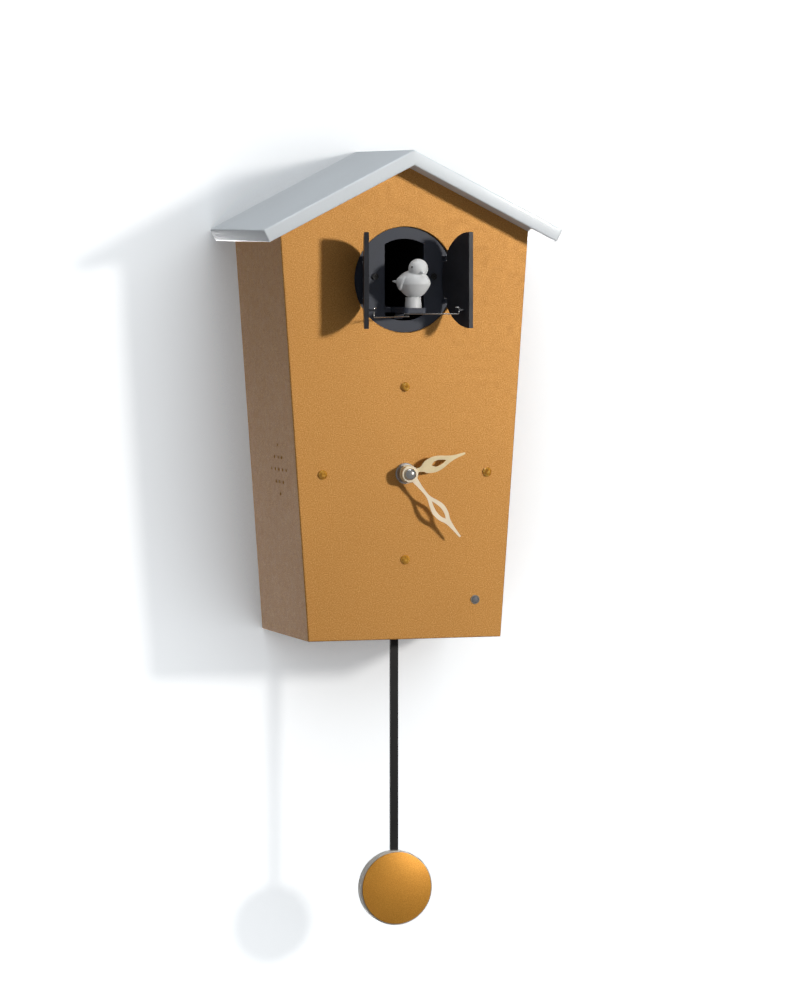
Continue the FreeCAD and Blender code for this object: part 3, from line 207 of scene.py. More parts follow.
middle = dial + Vector((0, 0.05, 0))
to_key = Vector((0.562, -0.803, 0.2)).normalized()
lamp("key_lamp", middle + to_key * 2.4, middle, 0.24, 30, (1.0, 0.97, 0.93))
lamp("top_lamp", middle + Vector((-0.15, -0.25, 2.0)), middle, 1.3, 17, (0.93, 0.97, 1.0))
lamp("back_lamp", middle + Vector((0.3, 2.6, -0.4)), middle, 1.4, 34, (1.0, 1.0, 1.0))
world = bpy.data.worlds.new("room")
bpy.context.scene.world = world
world.use_nodes = True
sky = world.node_tree.nodes["Background"]
sky.inputs["Color"].default_value = (0.98, 0.98, 1.0, 1.0)
sky.inputs["Strength"].default_value = 0.22

# Case boards: front, two sides and bottom, 6 mm board mitred and glued so that
# no edge shows, then sprayed all over with a satin bronze lacquer that has a
# fine metal fleck in it.  The corners are sanded to a 0.8 mm round.
base_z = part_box("front_board")[0].z
apex_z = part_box("front_board")[1].z
foot_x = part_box("bottom_board")[1].x
shoulder_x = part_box("front_board")[1].x
shoulder_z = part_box("right_side_board")[1].z
face_y = dial.y
board_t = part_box("bottom_board")[1].z - base_z
lean = (shoulder_x - foot_x) / (shoulder_z - base_z)
lean_cos = math.cos(math.atan(lean))
pitch = (apex_z - shoulder_z) / shoulder_x
sanded = 0.0008


def sanded_steps():
    """Edge and depth offsets from the flat face round to the mitre."""
    steps = []
    for share in (0.0, 0.25, 0.5, 0.75, 1.0):
        a = math.radians(45 * share)
        steps.append((sanded * (1 - math.sin(a)), sanded * (1 - math.cos(a))))
    steps.append((board_t, board_t))
    return steps


def side_line(z, inset):
    """Half width at height z, set in square to the side."""
    return foot_x + (z - base_z) * lean - inset / lean_cos


def under_roof(inset):
    """Where the side, set in, meets the underside of the roof."""
    x = (side_line(base_z, inset) + (apex_z - base_z) * lean) / (1 + pitch * lean)
    return x, apex_z - x * pitch


def circle(x, z, y, r, steps):
    """Ring of points facing the front."""
    ring = []
    for step in range(steps):
        a = 2 * math.pi * step / steps
        ring.append(Vector((x + r * math.cos(a), y, z + r * math.sin(a))))
    return ring


def sheet_piece(name, outer, holes, finish, body, replaced):
    """Board from a stack of outer rings, pierced by holes that are stacks of rings."""
    mesh = bmesh.new()
    stacks = []
    for rings in [outer] + holes:
        stacks.append([[mesh.verts.new(p) for p in ring] for ring in rings])
    for stack in stacks:
        for near, far in zip(stack, stack[1:]):
            count = len(near)
            for i in range(count):
                mesh.faces.new((near[i], near[(i + 1) % count], far[(i + 1) % count], far[i]))
    for end in (0, -1):
        edges = []
        for stack in stacks:
            ring = stack[end]
            for i in range(len(ring)):
                edges.append(mesh.edges.get((ring[i], ring[(i + 1) % len(ring)])))
        if len(stacks) == 1:
            mesh.faces.new(stacks[0][end])
        else:
            bmesh.ops.triangle_fill(mesh, use_beauty=True, use_dissolve=False, edges=edges)
    board = shape_piece(name, mesh, finish, body, replaced)
    flatten = board.modifiers.new("flat_faces", "WEIGHTED_NORMAL")
    flatten.weight = 100
    flatten.keep_sharp = True


def shape_piece(name, mesh, finish, body, replaced, smooth=True, angle=40):
    """Turn a bmesh into a finished piece that rides with its CAD body."""
    bmesh.ops.recalc_face_normals(mesh, faces=mesh.faces)
    for edge in mesh.edges:
        if len(edge.link_faces) == 2:
            edge.smooth = edge.calc_face_angle(0) < math.radians(angle)
    for face in mesh.faces:
        face.smooth = smooth
    data = bpy.data.meshes.new(name)
    mesh.to_mesh(data)
    mesh.free()
    data.materials.append(finish)
    piece = bpy.data.objects.new(name, data)
    bpy.context.scene.collection.objects.link(piece)
    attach(piece, body)
    if replaced:
        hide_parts(*replaced)
    return piece


def spread(tree, fac, low, high):
    """Number that follows fac between two values."""
    span = tree.nodes.new("ShaderNodeMapRange")
    span.inputs["From Min"].default_value = 0.3
    span.inputs["From Max"].default_value = 0.7
    span.inputs["To Min"].default_value = low
    span.inputs["To Max"].default_value = high
    join(tree, fac, span.inputs["Value"])
    return span.outputs["Result"]


def relief(tree, shader, fac, depth):
    """Bump of a given depth in metres."""
    bump = tree.nodes.new("ShaderNodeBump")
    bump.inputs["Distance"].default_value = depth
    join(tree, fac, bump.inputs["Height"])
    join(tree, bump.outputs["Normal"], shader.inputs["Normal"])


def bronze_lacquer():
    """Bronze lacquer: bright and dark metal flecks under a satin coat."""
    finish, tree, shader = surface("bronze_lacquer", 0.55, 0.12, 0.35)
    fleck = grain(tree, 0.00075, 2.0, 0.75)
    cloud = grain(tree, 0.09, 2.0)
    spray = grain(tree, 0.0045, 3.0)
    body = shades(tree, fleck, [(0.30, (0.45, 0.190, 0.030)), (0.50, (0.585, 0.272, 0.058)),
                                (0.68, (0.74, 0.425, 0.135))])
    tint = tree.nodes.new("ShaderNodeMix")
    tint.data_type = "RGBA"
    tint.blend_type = "MULTIPLY"
    tint.inputs["Factor"].default_value = 1.0
    join(tree, body, tint.inputs["A"])
    join(tree, shades(tree, cloud, [(0.3, (0.94, 0.93, 0.90)), (0.7, (1.0, 1.0, 1.0))]),
         tint.inputs["B"])
    join(tree, tint.outputs["Result"], shader.inputs["Base Color"])
    join(tree, spread(tree, spray, 0.42, 0.56), shader.inputs["Roughness"])
    relief(tree, shader, fleck, 0.00002)
    return finish


case_finish = bronze_lacquer()
stage_low, stage_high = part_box("stage_plate")
stage_z = (stage_low.z + stage_high.z) / 2
stage_flange = 0.0044
stage_r = (stage_high.x - stage_low.x) / 2 - stage_flange
sensor_hole_r = 0.0026
shaft_hole_r = 0.0042
outer = []
for inset, deep in sanded_steps():
    low_z = base_z + inset
    low_x = side_line(low_z, inset)
    top_x, top_z = under_roof(inset)
    y = face_y + deep
    outer.append([Vector((-low_x, y, low_z)), Vector((low_x, y, low_z)), Vector((top_x, y, top_z)),
                  Vector((0, y, apex_z)), Vector((-top_x, y, top_z))])
back_y = face_y + board_t
lens_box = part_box("light_sensor")
sensor_at = (lens_box[0] + lens_box[1]) / 2
holes = [[circle(0, stage_z, face_y, stage_r + 0.0006, 96),
          circle(0, stage_z, face_y + 0.0002, stage_r + 0.0002, 96),
          circle(0, stage_z, face_y + 0.0006, stage_r, 96),
          circle(0, stage_z, back_y, stage_r, 96)],
         [circle(sensor_at.x, sensor_at.z, face_y, sensor_hole_r, 32),
          circle(sensor_at.x, sensor_at.z, back_y, sensor_hole_r, 32)],
         [circle(0, dial.z, face_y, shaft_hole_r, 32), circle(0, dial.z, back_y, shaft_hole_r, 32)]]
sheet_piece("front_panel", outer, holes, case_finish, "case", ["front_board"])

hole_pitch = 0.0083
sound_hole = ((0.00135, 0.0), (0.0012, 0.00008), (0.0011, 0.0003), (0.0011, board_t))
for side, node in ((-1, "left_side_board"), (1, "right_side_board")):
    rings = []
    for inset, deep in sanded_steps():
        low_z = base_z + inset
        low_x = side_line(low_z, deep)
        top_x, top_z = under_roof(deep)
        y = face_y + inset
        rings.append([Vector((side * low_x, y, low_z)), Vector((side * top_x, y, top_z)),
                      Vector((side * top_x, 0.0, top_z)), Vector((side * low_x, 0.0, low_z))])
    sound_holes = []
    if side < 0:
        cone_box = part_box("speaker_frame")
        centre = (cone_box[0] + cone_box[1]) / 2
        along = Vector((-lean, 0, 1)).normalized()
        inward = Vector((1, 0, lean)).normalized()
        hub = Vector((-side_line(centre.z, 0.0), centre.y, centre.z))
        for row in range(-2, 3):
            reach = 2 - abs(row)
            for col in range(-reach, reach + 1):
                spot = hub + Vector((0, 1, 0)) * (row * hole_pitch) + along * (col * hole_pitch)
                stack = []
                for r, deep in sound_hole:
                    ring = []
                    for step in range(20):
                        a = 2 * math.pi * step / 20
                        level = Vector((0, r * math.cos(a), 0))
                        ring.append(spot + level + along * (r * math.sin(a)) + inward * deep)
                    stack.append(ring)
                sound_holes.append(stack)
    sheet_piece(node + "_panel", rings, sound_holes, case_finish, "case", [node])

rod_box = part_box("pendulum_rod")
rod_swing = 0.00825
slot_gap = 0.003
slot_x = (rod_box[1].x - rod_box[0].x) / 2 + rod_swing
rings = []
slot_rings = []
for inset, deep in sanded_steps():
    z = base_z + deep
    x = side_line(base_z + deep, inset)
    rings.append([Vector((-x, face_y + inset, z)), Vector((x, face_y + inset, z)),
                  Vector((x, 0.0, z)), Vector((-x, 0.0, z))])
for deep in (0.0, board_t):
    z = base_z + deep
    front = rod_box[0].y - slot_gap
    back = rod_box[1].y + slot_gap
    slot_rings.append([Vector((-slot_x, front, z)), Vector((slot_x, front, z)),
                       Vector((slot_x, back, z)), Vector((-slot_x, back, z))])
sheet_piece("bottom_panel", rings, [slot_rings], case_finish, "case", ["bottom_board"])

# Roof: two 9 mm boards mitred at the ridge and glued down on the case,
# sprayed satin white.  Their outer edges are eased by hand.


def moulded(name, colour, rough=0.4, tone=0.12, size=0.0012, depth=0.00002, metal=0.0, coat=0.0,
            patch=0.02, stretch=(1, 1, 1)):
    """Evenly coloured finish with fine texture, faint patches and uneven gloss."""
    finish, tree, shader = surface(name, metal, coat)
    broad = grain(tree, patch, 2.0)
    fine = grain(tree, size, 4.0, 0.6, stretch)
    dark = tuple(c * (1 - tone) for c in colour)
    light = tuple(min(1.0, c * (1 + tone)) for c in colour)
    blend = tree.nodes.new("ShaderNodeMath")
    blend.operation = "MULTIPLY_ADD"
    blend.inputs[1].default_value = 0.45
    join(tree, fine, blend.inputs[0])
    half = tree.nodes.new("ShaderNodeMath")
    half.operation = "MULTIPLY"
    half.inputs[1].default_value = 0.55
    join(tree, broad, half.inputs[0])
    join(tree, half.outputs[0], blend.inputs[2])
    join(tree, shades(tree, blend.outputs[0], [(0.35, dark), (0.65, light)]),
         shader.inputs["Base Color"])
    join(tree, spread(tree, blend.outputs[0], rough * 0.85, min(1.0, rough * 1.2)),
         shader.inputs["Roughness"])
    relief(tree, shader, fine, depth)
    return finish


roof_paint = moulded("roof_white", (0.88, 0.94, 0.98), 0.36, 0.02, 0.0016, 0.000012, coat=0.25,
                     patch=0.05)
slope = math.atan(pitch)
eased_edge = 0.0011
for side, node in ((-1, "left_roof_board"), (1, "right_roof_board")):
    low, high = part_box(node)
    tip_x = max(abs(low.x), abs(high.x))
    thick = (high.z - apex_z) * math.cos(slope)
    eave_x = tip_x - thick * math.sin(slope)
    eave_z = apex_z - eave_x * pitch
    section = [(0, apex_z), (eave_x, eave_z), (tip_x, eave_z + thick * math.cos(slope)),
               (0, high.z)]
    mesh = bmesh.new()
    near = [mesh.verts.new((side * x, low.y, z)) for x, z in section]
    far = [mesh.verts.new((side * x, high.y, z)) for x, z in section]
    mesh.faces.new(near)
    mesh.faces.new(far)
    for i in range(4):
        mesh.faces.new((near[i], near[(i + 1) % 4], far[(i + 1) % 4], far[i]))
    bmesh.ops.recalc_face_normals(mesh, faces=mesh.faces)
    eased = []
    for edge in mesh.edges:
        xs = [abs(v.co.x) for v in edge.verts]
        ys = [v.co.y for v in edge.verts]
        if max(xs) > 0.001 and min(ys) < high.y - 0.001:
            eased.append(edge)
    bmesh.ops.bevel(mesh, geom=eased, offset=eased_edge, segments=4, profile=0.5, affect="EDGES")
    shape_piece(node + "_painted", mesh, roof_paint, "case", [node], angle=30)

# Back: black hardboard let in flush and held by four screws into glued
# softwood blocks, with a steel keyhole plate let into it for the wall screw.
hardboard = moulded("black_hardboard", (0.028, 0.027, 0.026), 0.7, 0.3, 0.0009, 0.00004)
softwood = moulded("pine_block", (0.60, 0.42, 0.24), 0.7, 0.2, 0.0016, 0.00006,
                   stretch=(1, 1, 0.08))
zinc = moulded("zinc_plate", (0.62, 0.63, 0.64), 0.32, 0.08, 0.0006, 0.000006, metal=1.0,
               patch=0.006)


def dress(node, finish, bevel=0.0):
    """Give a CAD piece its finish and, where it is plain, softened edges."""
    piece = frame["nodes"][node]
    piece.data.materials.clear()
    piece.data.materials.append(finish)
    if bevel:
        ease = piece.modifiers.new("eased", "BEVEL")
        ease.width = bevel
        ease.segments = 2
        ease.limit_method = "ANGLE"
        ease.angle_limit = math.radians(50)
        ease.harden_normals = True


dress("back_panel", hardboard, 0.0004)
dress("corner_blocks", softwood, 0.0004)
dress("hanger_plate", zinc)
dress("back_screws", zinc)

# Stage: a round plate moulded in blue-black plastic that shows in the front
# opening, with the bird's window, lugs for the door pins and two screws.
stage_plastic = moulded("stage_plastic", (0.036, 0.044, 0.066), 0.46, 0.15, 0.0009, 0.000012,
                        patch=0.015)
black_steel = moulded("blackened_steel", (0.012, 0.012, 0.013), 0.3, 0.2, 0.0006, 0.000008,
                      metal=0.4)
dress("stage_plate", stage_plastic, 0.0003)
dress("stage_screws", black_steel)
steel = moulded("bright_steel", (0.66, 0.65, 0.62), 0.22, 0.06, 0.0005, 0.000004, metal=1.0,
                patch=0.004)
dress("hinge_pins", steel)

# Doors: half discs moulded in gloss black plastic, each on an upright pin,
# with a small tab inside that the link wire hooks into.
door_black = moulded("door_black", (0.026, 0.027, 0.033), 0.34, 0.2, 0.0014, 0.000008, coat=0.3,
                     patch=0.012)
dress("left_door", door_black, 0.00025)
dress("right_door", door_black, 0.00025)

# Tunnel and drive: the box the bird slides back into, in matt black plastic,
# with nylon gears on a steel axle and a small tin-cased motor.
tunnel_plastic = moulded("tunnel_plastic", (0.010, 0.010, 0.011), 0.55, 0.2, 0.0009, 0.00002)
nylon = moulded("nylon", (0.80, 0.78, 0.69), 0.38, 0.05, 0.0008, 0.00001, patch=0.005)
tin = moulded("tinned_can", (0.60, 0.60, 0.58), 0.35, 0.1, 0.0008, 0.00001, metal=1.0,
              stretch=(0.1, 1, 1))
brass = moulded("pinion_brass", (0.72, 0.50, 0.20), 0.3, 0.08, 0.0005, 0.000006, metal=1.0)
dress("cuckoo_housing", tunnel_plastic, 0.0003)
dress("drive_gear", nylon)
dress("drive_axle", steel)
dress("drive_motor", tin)
dress("motor_pinion", brass)

# Carriage: black deck that runs in the tunnel's rails and carries the bird's
# white perch sleeve; the link screw is turned steel.
dress("bird_carriage", stage_plastic, 0.0003)
dress("link_screw", steel)
bird_white = moulded("bird_white", (0.80, 0.815, 0.82), 0.42, 0.02, 0.001, 0.000012, patch=0.01)


def lathe(name, profile, at, axis, finish, body, replaced, steps=64, angle=35):
    """Turned piece: profile of (distance along the axis, radius)."""
    mesh = bmesh.new()
    turn = Vector((0, 0, 1)).rotation_difference(Vector(axis)).to_matrix()
    rings = []
    for run, r in profile:
        if r < 1e-7:
            rings.append([mesh.verts.new(Vector(at) + turn @ Vector((0, 0, run)))])
        else:
            ring = []
            for step in range(steps):
                a = 2 * math.pi * step / steps
                p = Vector((r * math.cos(a), r * math.sin(a), run))
                ring.append(mesh.verts.new(Vector(at) + turn @ p))
            rings.append(ring)
    for near, far in zip(rings, rings[1:]):
        for i in range(steps):
            j = (i + 1) % steps
            if len(near) == 1 and len(far) > 1:
                mesh.faces.new((near[0], far[j], far[i]))
            elif len(far) == 1 and len(near) > 1:
                mesh.faces.new((near[i], near[j], far[0]))
            elif len(near) > 1:
                mesh.faces.new((near[i], near[j], far[j], far[i]))
    for ring in (rings[0], rings[-1]):
        if len(ring) > 1:
            mesh.faces.new(ring)
    shape_piece(name, mesh, finish, body, replaced, angle=angle)


perch_low, perch_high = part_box("bird_perch")
perch_r = (perch_high.x - perch_low.x) / 2
perch_h = perch_high.z - perch_low.z
perch_at = Vector(((perch_low.x + perch_high.x) / 2, (perch_low.y + perch_high.y) / 2, perch_low.z))
lathe("perch_sleeve", [(0, perch_r - 0.0003), (0.0003, perch_r), (perch_h * 0.45, perch_r - 0.0001),
                       (perch_h * 0.8, perch_r - 0.00035), (perch_h, perch_r - 0.0003)], perch_at,
      (0, 0, 1), bird_white, "carriage", ["bird_perch"])

# Bird: a plump little bird cast in satin white resin, round head on a pear
# body, with raised folded wings, a short tail and glossy black bead eyes; it
# is glued on the perch sleeve.
bird_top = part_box("bird")[1].z
heading = math.radians(43)
ahead = Vector((math.sin(heading), -math.cos(heading), 0))
across = Vector((math.cos(heading), math.sin(heading), 0))
bird_at = Vector((perch_at.x, perch_at.y, perch_high.z + 0.0087))
body_half = (0.0091, 0.0118, 0.0093)
neck_half = (0.0064, 0.0068, 0.0050)
tail_half = (0.0019, 0.0043, 0.0011)
wing_half = (0.0031, 0.0076, 0.0055)
beak_half = (0.0013, 0.0022, 0.0011)
tail_taper = 0.0044
head_r = 0.0066
head_at = Vector((perch_at.x, perch_at.y, bird_top - head_r)) + ahead * 0.0038


def blob(mesh, at, half, turn, rings=20, steps=32, pull=None):
    """Rounded lump with its own half sizes and heading."""
    grid = []
    for ring in range(1, rings):
        lift = math.pi * ring / rings
        row = []
        for step in range(steps):
            a = 2 * math.pi * step / steps
            p = Vector((math.sin(lift) * math.cos(a), math.sin(lift) * math.sin(a), math.cos(lift)))
            p = Vector((p.x * half[0], p.y * half[1], p.z * half[2]))
            if pull:
                p = pull(p)
            row.append(mesh.verts.new(at + turn @ p))
        grid.append(row)
    for near, far in zip(grid, grid[1:]):
        for i in range(steps):
            mesh.faces.new((near[i], near[(i + 1) % steps], far[(i + 1) % steps], far[i]))
    for row, lift in ((grid[0], half[2]), (grid[-1], -half[2])):
        p = Vector((0, 0, lift))
        tip = mesh.verts.new(at + turn @ (pull(p) if pull else p))
        for i in range(steps):
            mesh.faces.new((row[i], row[(i + 1) % steps], tip))


def pear(p):
    """Body that draws in below the middle towards the perch."""
    low = max(0.0, -p.z / body_half[2])
    swell = 1.0 - 0.36 * low * (1.0 - 0.6 * low)
    return Vector((p.x * swell, p.y * swell - 0.0004 * low, p.z))


def wing_form(p):
    """Wing with a blunt raised leading edge, thinning to its tip behind."""
    back = p.y / wing_half[1]
    if back < 0:
        return Vector((p.x, p.y * 0.3, p.z))
    return Vector((p.x * (1.0 - 0.45 * back), p.y * 0.68, p.z * (1.0 - 0.3 * back)))


def tail_form(p):
    """Tail that narrows to a blunt end."""
    back = max(0.0, p.y / tail_taper)
    return Vector((p.x * (1.0 - 0.45 * back), p.y, p.z * (1.0 - 0.35 * back)))


facing = Matrix((across, -ahead, Vector((0, 0, 1)))).transposed()
look = math.radians(6)
gaze = Vector((math.sin(look), -math.cos(look), 0))
mesh = bmesh.new()
blob(mesh, bird_at + ahead * 0.0003, body_half, facing, 28, 44, pear)
blob(mesh, head_at, (head_r, head_r, head_r * 0.995), facing, 24, 40)
blob(mesh, bird_at + ahead * 0.0020 + Vector((0, 0, 0.0052)), neck_half, facing)
tail_tilt = facing @ Matrix.Rotation(math.radians(8), 3, "X")
blob(mesh, bird_at - ahead * 0.0119 + Vector((0, 0, 0.0013)), tail_half, tail_tilt, 20, 32,
     tail_form)
for side in (-1, 1):
    cocked = Matrix.Rotation(math.radians(30), 3, "X")
    splay = facing @ cocked @ Matrix.Rotation(math.radians(side * -6), 3, "Z")
    wing_at = bird_at + across * (side * 0.0062) - ahead * 0.0042 + Vector((0, 0, 0.0008))
    blob(mesh, wing_at, wing_half, splay, 28, 40, wing_form)
beak_turn = Matrix.Rotation(look, 3, "Z") @ Matrix.Rotation(math.radians(17), 3, "X")
blob(mesh, head_at + gaze * 0.0064 + Vector((0, 0, -0.0023)), beak_half, beak_turn, 14, 20)
bird = shape_piece("white_bird", mesh, bird_white, "carriage", ["bird"])
weld = bird.modifiers.new("cast", "REMESH")
weld.mode = "VOXEL"
weld.voxel_size = 0.00032
weld.use_smooth_shade = True
soften = bird.modifiers.new("rubbed", "SMOOTH")
soften.factor = 0.5
soften.iterations = 3
eye_gloss = moulded("bead_black", (0.004, 0.004, 0.005), 0.08, 0.2, 0.0005, 0.000002, coat=0.6)
eye_r = 0.00075
mesh = bmesh.new()
for side in (-1, 1):
    a = look + math.radians(63 * side)
    out = Vector((math.sin(a), -math.cos(a), 0.18)).normalized()
    blob(mesh, head_at + out * (head_r - 0.0003), (eye_r, eye_r, eye_r), Matrix.Identity(3), 12, 20)
shape_piece("bead_eyes", mesh, eye_gloss, "carriage", ["bird_eyes"])

# Link wires: 0.9 mm spring steel, each with an eyelet turned at the deck end
# and a hook dropped through the hole in the door's tab.
wire_r = 0.00045
eyelet_r = 0.00155


def wire_piece(name, points, body, replaced, finish, r):
    """Bent wire of radius r on one smooth open line."""
    curve = bpy.data.curves.new(name, "CURVE")
    curve.dimensions = "3D"
    curve.bevel_depth = r
    curve.bevel_resolution = 5
    curve.use_fill_caps = True
    line = curve.splines.new("NURBS")
    line.points.add(len(points) - 1)
    for spot, p in zip(line.points, points):
        spot.co = (*p, 1.0)
    line.order_u = 3
    line.use_endpoint_u = True
    curve.materials.append(finish)
    piece = bpy.data.objects.new(name, curve)
    bpy.context.scene.collection.objects.link(piece)
    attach(piece, body)
    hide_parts(*replaced)


screw_low, screw_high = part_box("link_screw")
screw_at = (screw_low + screw_high) / 2
for side, node, body in ((-1, "left_link", "link_left"), (1, "right_link", "link_right")):
    low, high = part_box(node)
    hole = joint_at["left_link_pivot" if side < 0 else "right_link_pivot"]
    z = low.z + wire_r
    eye = Vector((screw_at.x, screw_at.y, z))
    away = Vector((hole.x - eye.x, hole.y - eye.y, 0)).normalized()
    aside = Vector((-away.y, away.x, 0)) * side
    points = []
    for step in range(11):
        a = math.radians(200 - 310 * step / 10)
        points.append(eye + away * (eyelet_r * math.cos(a)) + aside * (eyelet_r * math.sin(a)))
    points.append(eye + away * 0.0022 - aside * 0.0003)
    foot = Vector((hole.x, hole.y, z))
    head = Vector((hole.x, hole.y, high.z - wire_r))
    points += [eye + away * 0.006, foot - away * 0.002, foot - away * 0.0006,
               foot + Vector((0, 0, 0.0006)), foot + Vector((0, 0, 0.002)),
               head - Vector((0, 0, 0.0008)), head - away * 0.0004, head - away * 0.0022]
    wire_piece(node + "_wire", points, body, [node], steel, wire_r)

# Hour stones: four amber glass studs, round at the girdle with a flat table
# and a ring of facets, pressed into the face by a pin.
amber, tree, shader = surface("amber_glass", 0.25, 0.6, 0.05)
cloudy = grain(tree, 0.002, 3.0)
join(tree, shades(tree, cloudy,
                  [(0.3, (0.42, 0.15, 0.008)), (0.55, (0.80, 0.38, 0.03)),
                   (0.75, (0.98, 0.66, 0.16))]), shader.inputs["Base Color"])
join(tree, spread(tree, cloudy, 0.08, 0.2), shader.inputs["Roughness"])
shader.inputs["IOR"].default_value = 1.55
stone_low, stone_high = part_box("hour_stones")
stone_r = 0.00325
facets = 10
tiers = [(stone_r, 0.0, 0.5), (stone_r, 0.0005, 0.5), (0.0029, 0.0010, 0.0), (0.0020, 0.0017, 0.5),
         (0.0013, 0.00205, 0.0)]
ring_r = (stone_high.x - stone_low.x) / 2 - stone_r
mesh = bmesh.new()
for quarter in range(4):
    a = math.radians(90 * quarter)
    at = Vector((ring_r * math.sin(a), face_y, dial.z + ring_r * math.cos(a)))
    rows = []
    for r, out, turn in tiers:
        row = []
        for i in range(facets):
            a = (i + turn) * 2 * math.pi / facets
            row.append(mesh.verts.new(at + Vector((r * math.cos(a), -out, r * math.sin(a)))))
        rows.append(row)
    for tier in range(len(tiers) - 1):
        near, far = rows[tier], rows[tier + 1]
        near_turn, far_turn = tiers[tier][2], tiers[tier + 1][2]
        for i in range(facets):
            j = (i + 1) % facets
            if near_turn == far_turn:
                mesh.faces.new((near[i], near[j], far[j], far[i]))
            elif near_turn > far_turn:
                mesh.faces.new((near[i], far[j], far[i]))
                mesh.faces.new((near[i], near[j], far[j]))
            else:
                mesh.faces.new((near[i], near[j], far[i]))
                mesh.faces.new((near[j], far[j], far[i]))
    mesh.faces.new(rows[-1])
    mesh.faces.new(list(reversed(rows[0])))
shape_piece("amber_stones", mesh, amber, "case", ["hour_stones"], smooth=False)

# Light sensor: a small clear lens in a dull moulded ring, pushed in from
# behind so that the clock stays quiet in the dark.
ring_grey = moulded("ring_grey", (0.30, 0.27, 0.22), 0.4, 0.1, 0.0006, 0.00001)
lens_grey = moulded("lens_grey", (0.20, 0.20, 0.21), 0.06, 0.2, 0.0012, 0.000004, coat=1.0)
lathe("sensor_collar", [(0, 0.0031), (0.0003, 0.0031), (0.0005, 0.0029), (0.0005, 0.0026),
                        (0.0001, 0.0025)], (sensor_at.x, face_y, sensor_at.z), (0, -1, 0),
      ring_grey, "case", ["sensor_ring"], 48)
lathe("sensor_lens", [(-0.007, 0.0025), (0.0, 0.0025), (0.00025, 0.0023), (0.0006, 0.0016),
                      (0.00085, 0.0008), (0.0009, 0.0)], (sensor_at.x, face_y, sensor_at.z),
      (0, -1, 0), lens_grey, "case", ["light_sensor"], 48)

# Hands and shaft: washer, notched nut, two stamped and pierced leaf hands in
# pale gold, each pressed on its arbor, and a domed steel nut in front.
hand_front = moulded("minute_gold", (0.93, 0.80, 0.60), 0.36, 0.05, 0.0012, 0.000006, metal=0.35,
                     patch=0.012)
hand_back = moulded("hour_gold", (0.80, 0.66, 0.40), 0.4, 0.06, 0.0012, 0.000006, metal=0.35,
                    patch=0.012)


def hand_piece(name, outline, hole, hub_r, at, angle, thick, finish, body, node):
    """Stamped hand: smooth leaf outline, pierced centre, rolled edges and a round hub.

    outline and hole list (distance from the hub, half width) in millimetres.
    """
    def smooth(points, parts=5):
        fine = []
        for i in range(len(points) - 1):
            p0 = points[max(0, i - 1)]
            p1, p2 = points[i], points[i + 1]
            p3 = points[min(len(points) - 1, i + 2)]
            for k in range(parts):
                t = k / parts
                spot = []
                for a, b, c, d in zip(p0, p1, p2, p3):
                    square = (2 * a - 5 * b + 4 * c - d) * t * t
                    cube = (3 * b - a - 3 * c + d) * t ** 3
                    spot.append(0.5 * (2 * b + (c - a) * t + square + cube))
                fine.append(tuple(spot))
        fine.append(points[-1])
        return fine

    def loop(points, shrink, out):
        right = [(w, u) for u, w in smooth(points)]
        ring = right + [(-w, u) for w, u in reversed(right) if w > 1e-5]
        if shrink == 0.0:
            flat = ring
        else:
            flat = []
            count = len(ring)
            for i in range(count):
                x0, z0 = ring[i - 1]
                x1, z1 = ring[(i + 1) % count]
                length = math.hypot(x1 - x0, z1 - z0) or 1.0
                flat.append((ring[i][0] - (z1 - z0) / length * shrink,
                             ring[i][1] + (x1 - x0) / length * shrink))
        turn = math.radians(angle)
        spun = []
        for x, z in flat:
            spun.append(at + Vector((x * 0.001 * math.cos(turn) + z * 0.001 * math.sin(turn), -out,
                                     -x * 0.001 * math.sin(turn) + z * 0.001 * math.cos(turn))))
        return spun

    roll = 0.00012
    outer = [loop(outline, -0.16, thick), loop(outline, -0.04, thick - roll * 0.3),
             loop(outline, 0.0, thick - roll), loop(outline, 0.0, 0.0)]
    inner = [loop(hole, 0.12, thick), loop(hole, 0.0, thick - roll), loop(hole, 0.0, 0.0)]
    sheet_piece(name, outer, [inner], finish, body, [node])
    lathe(name + "_hub", [(-0.0008, hub_r * 0.5), (0.0, hub_r), (thick + 0.0002, hub_r),
                          (thick + 0.0004, hub_r - 0.0002), (thick + 0.0004, 0.0016)], at,
          (0, -1, 0), finish, body, [], 56)


hour_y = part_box("hour_hand")[0].y
minute_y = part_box("minute_hand")[0].y
sheet_t = 0.0006
hour_outline = [(-2.2, 2.2), (2.0, 2.6), (7.5, 1.3), (10.5, 2.0), (13, 3.8), (18.5, 5.1), (24, 4.4),
                (29, 2.6), (34, 1.3), (42, 0.45)]
hour_hole = [(16.8, 0.02), (19.5, 1.8), (22.3, 2.05), (25.5, 1.3), (28.3, 0.02)]
hand_piece("hour_leaf", hour_outline, hour_hole, 0.006, Vector((0, hour_y + sheet_t, dial.z)), 71.7,
           sheet_t, hand_back, "hour", "hour_hand")
minute_outline = [(-2.0, 1.8), (2.0, 2.3), (4, 2.2), (10, 1.35), (16.5, 0.95), (21, 1.4), (27, 3.8),
                  (31.5, 4.8), (37, 4.0), (41.5, 2.0), (47, 1.1), (55, 0.5)]
minute_hole = [(23.3, 0.02), (27.3, 1.3), (31.5, 2.05), (36.0, 1.6), (39.4, 0.02)]
hand_piece("minute_leaf", minute_outline, minute_hole, 0.0056,
           Vector((0, minute_y + sheet_t, dial.z)), 140.4, sheet_t, hand_front, "minute",
           "minute_hand")
nut_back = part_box("hand_nut")[1].y
lathe("domed_nut", [(0, 0.0037), (0.0002, 0.0039), (0.0014, 0.0039), (0.0018, 0.00375),
                    (0.0024, 0.0032), (0.0029, 0.0024), (0.0033, 0.0014), (0.00345, 0.0)],
      (0, nut_back, dial.z), (0, -1, 0), steel, "minute", ["hand_nut"], 56)
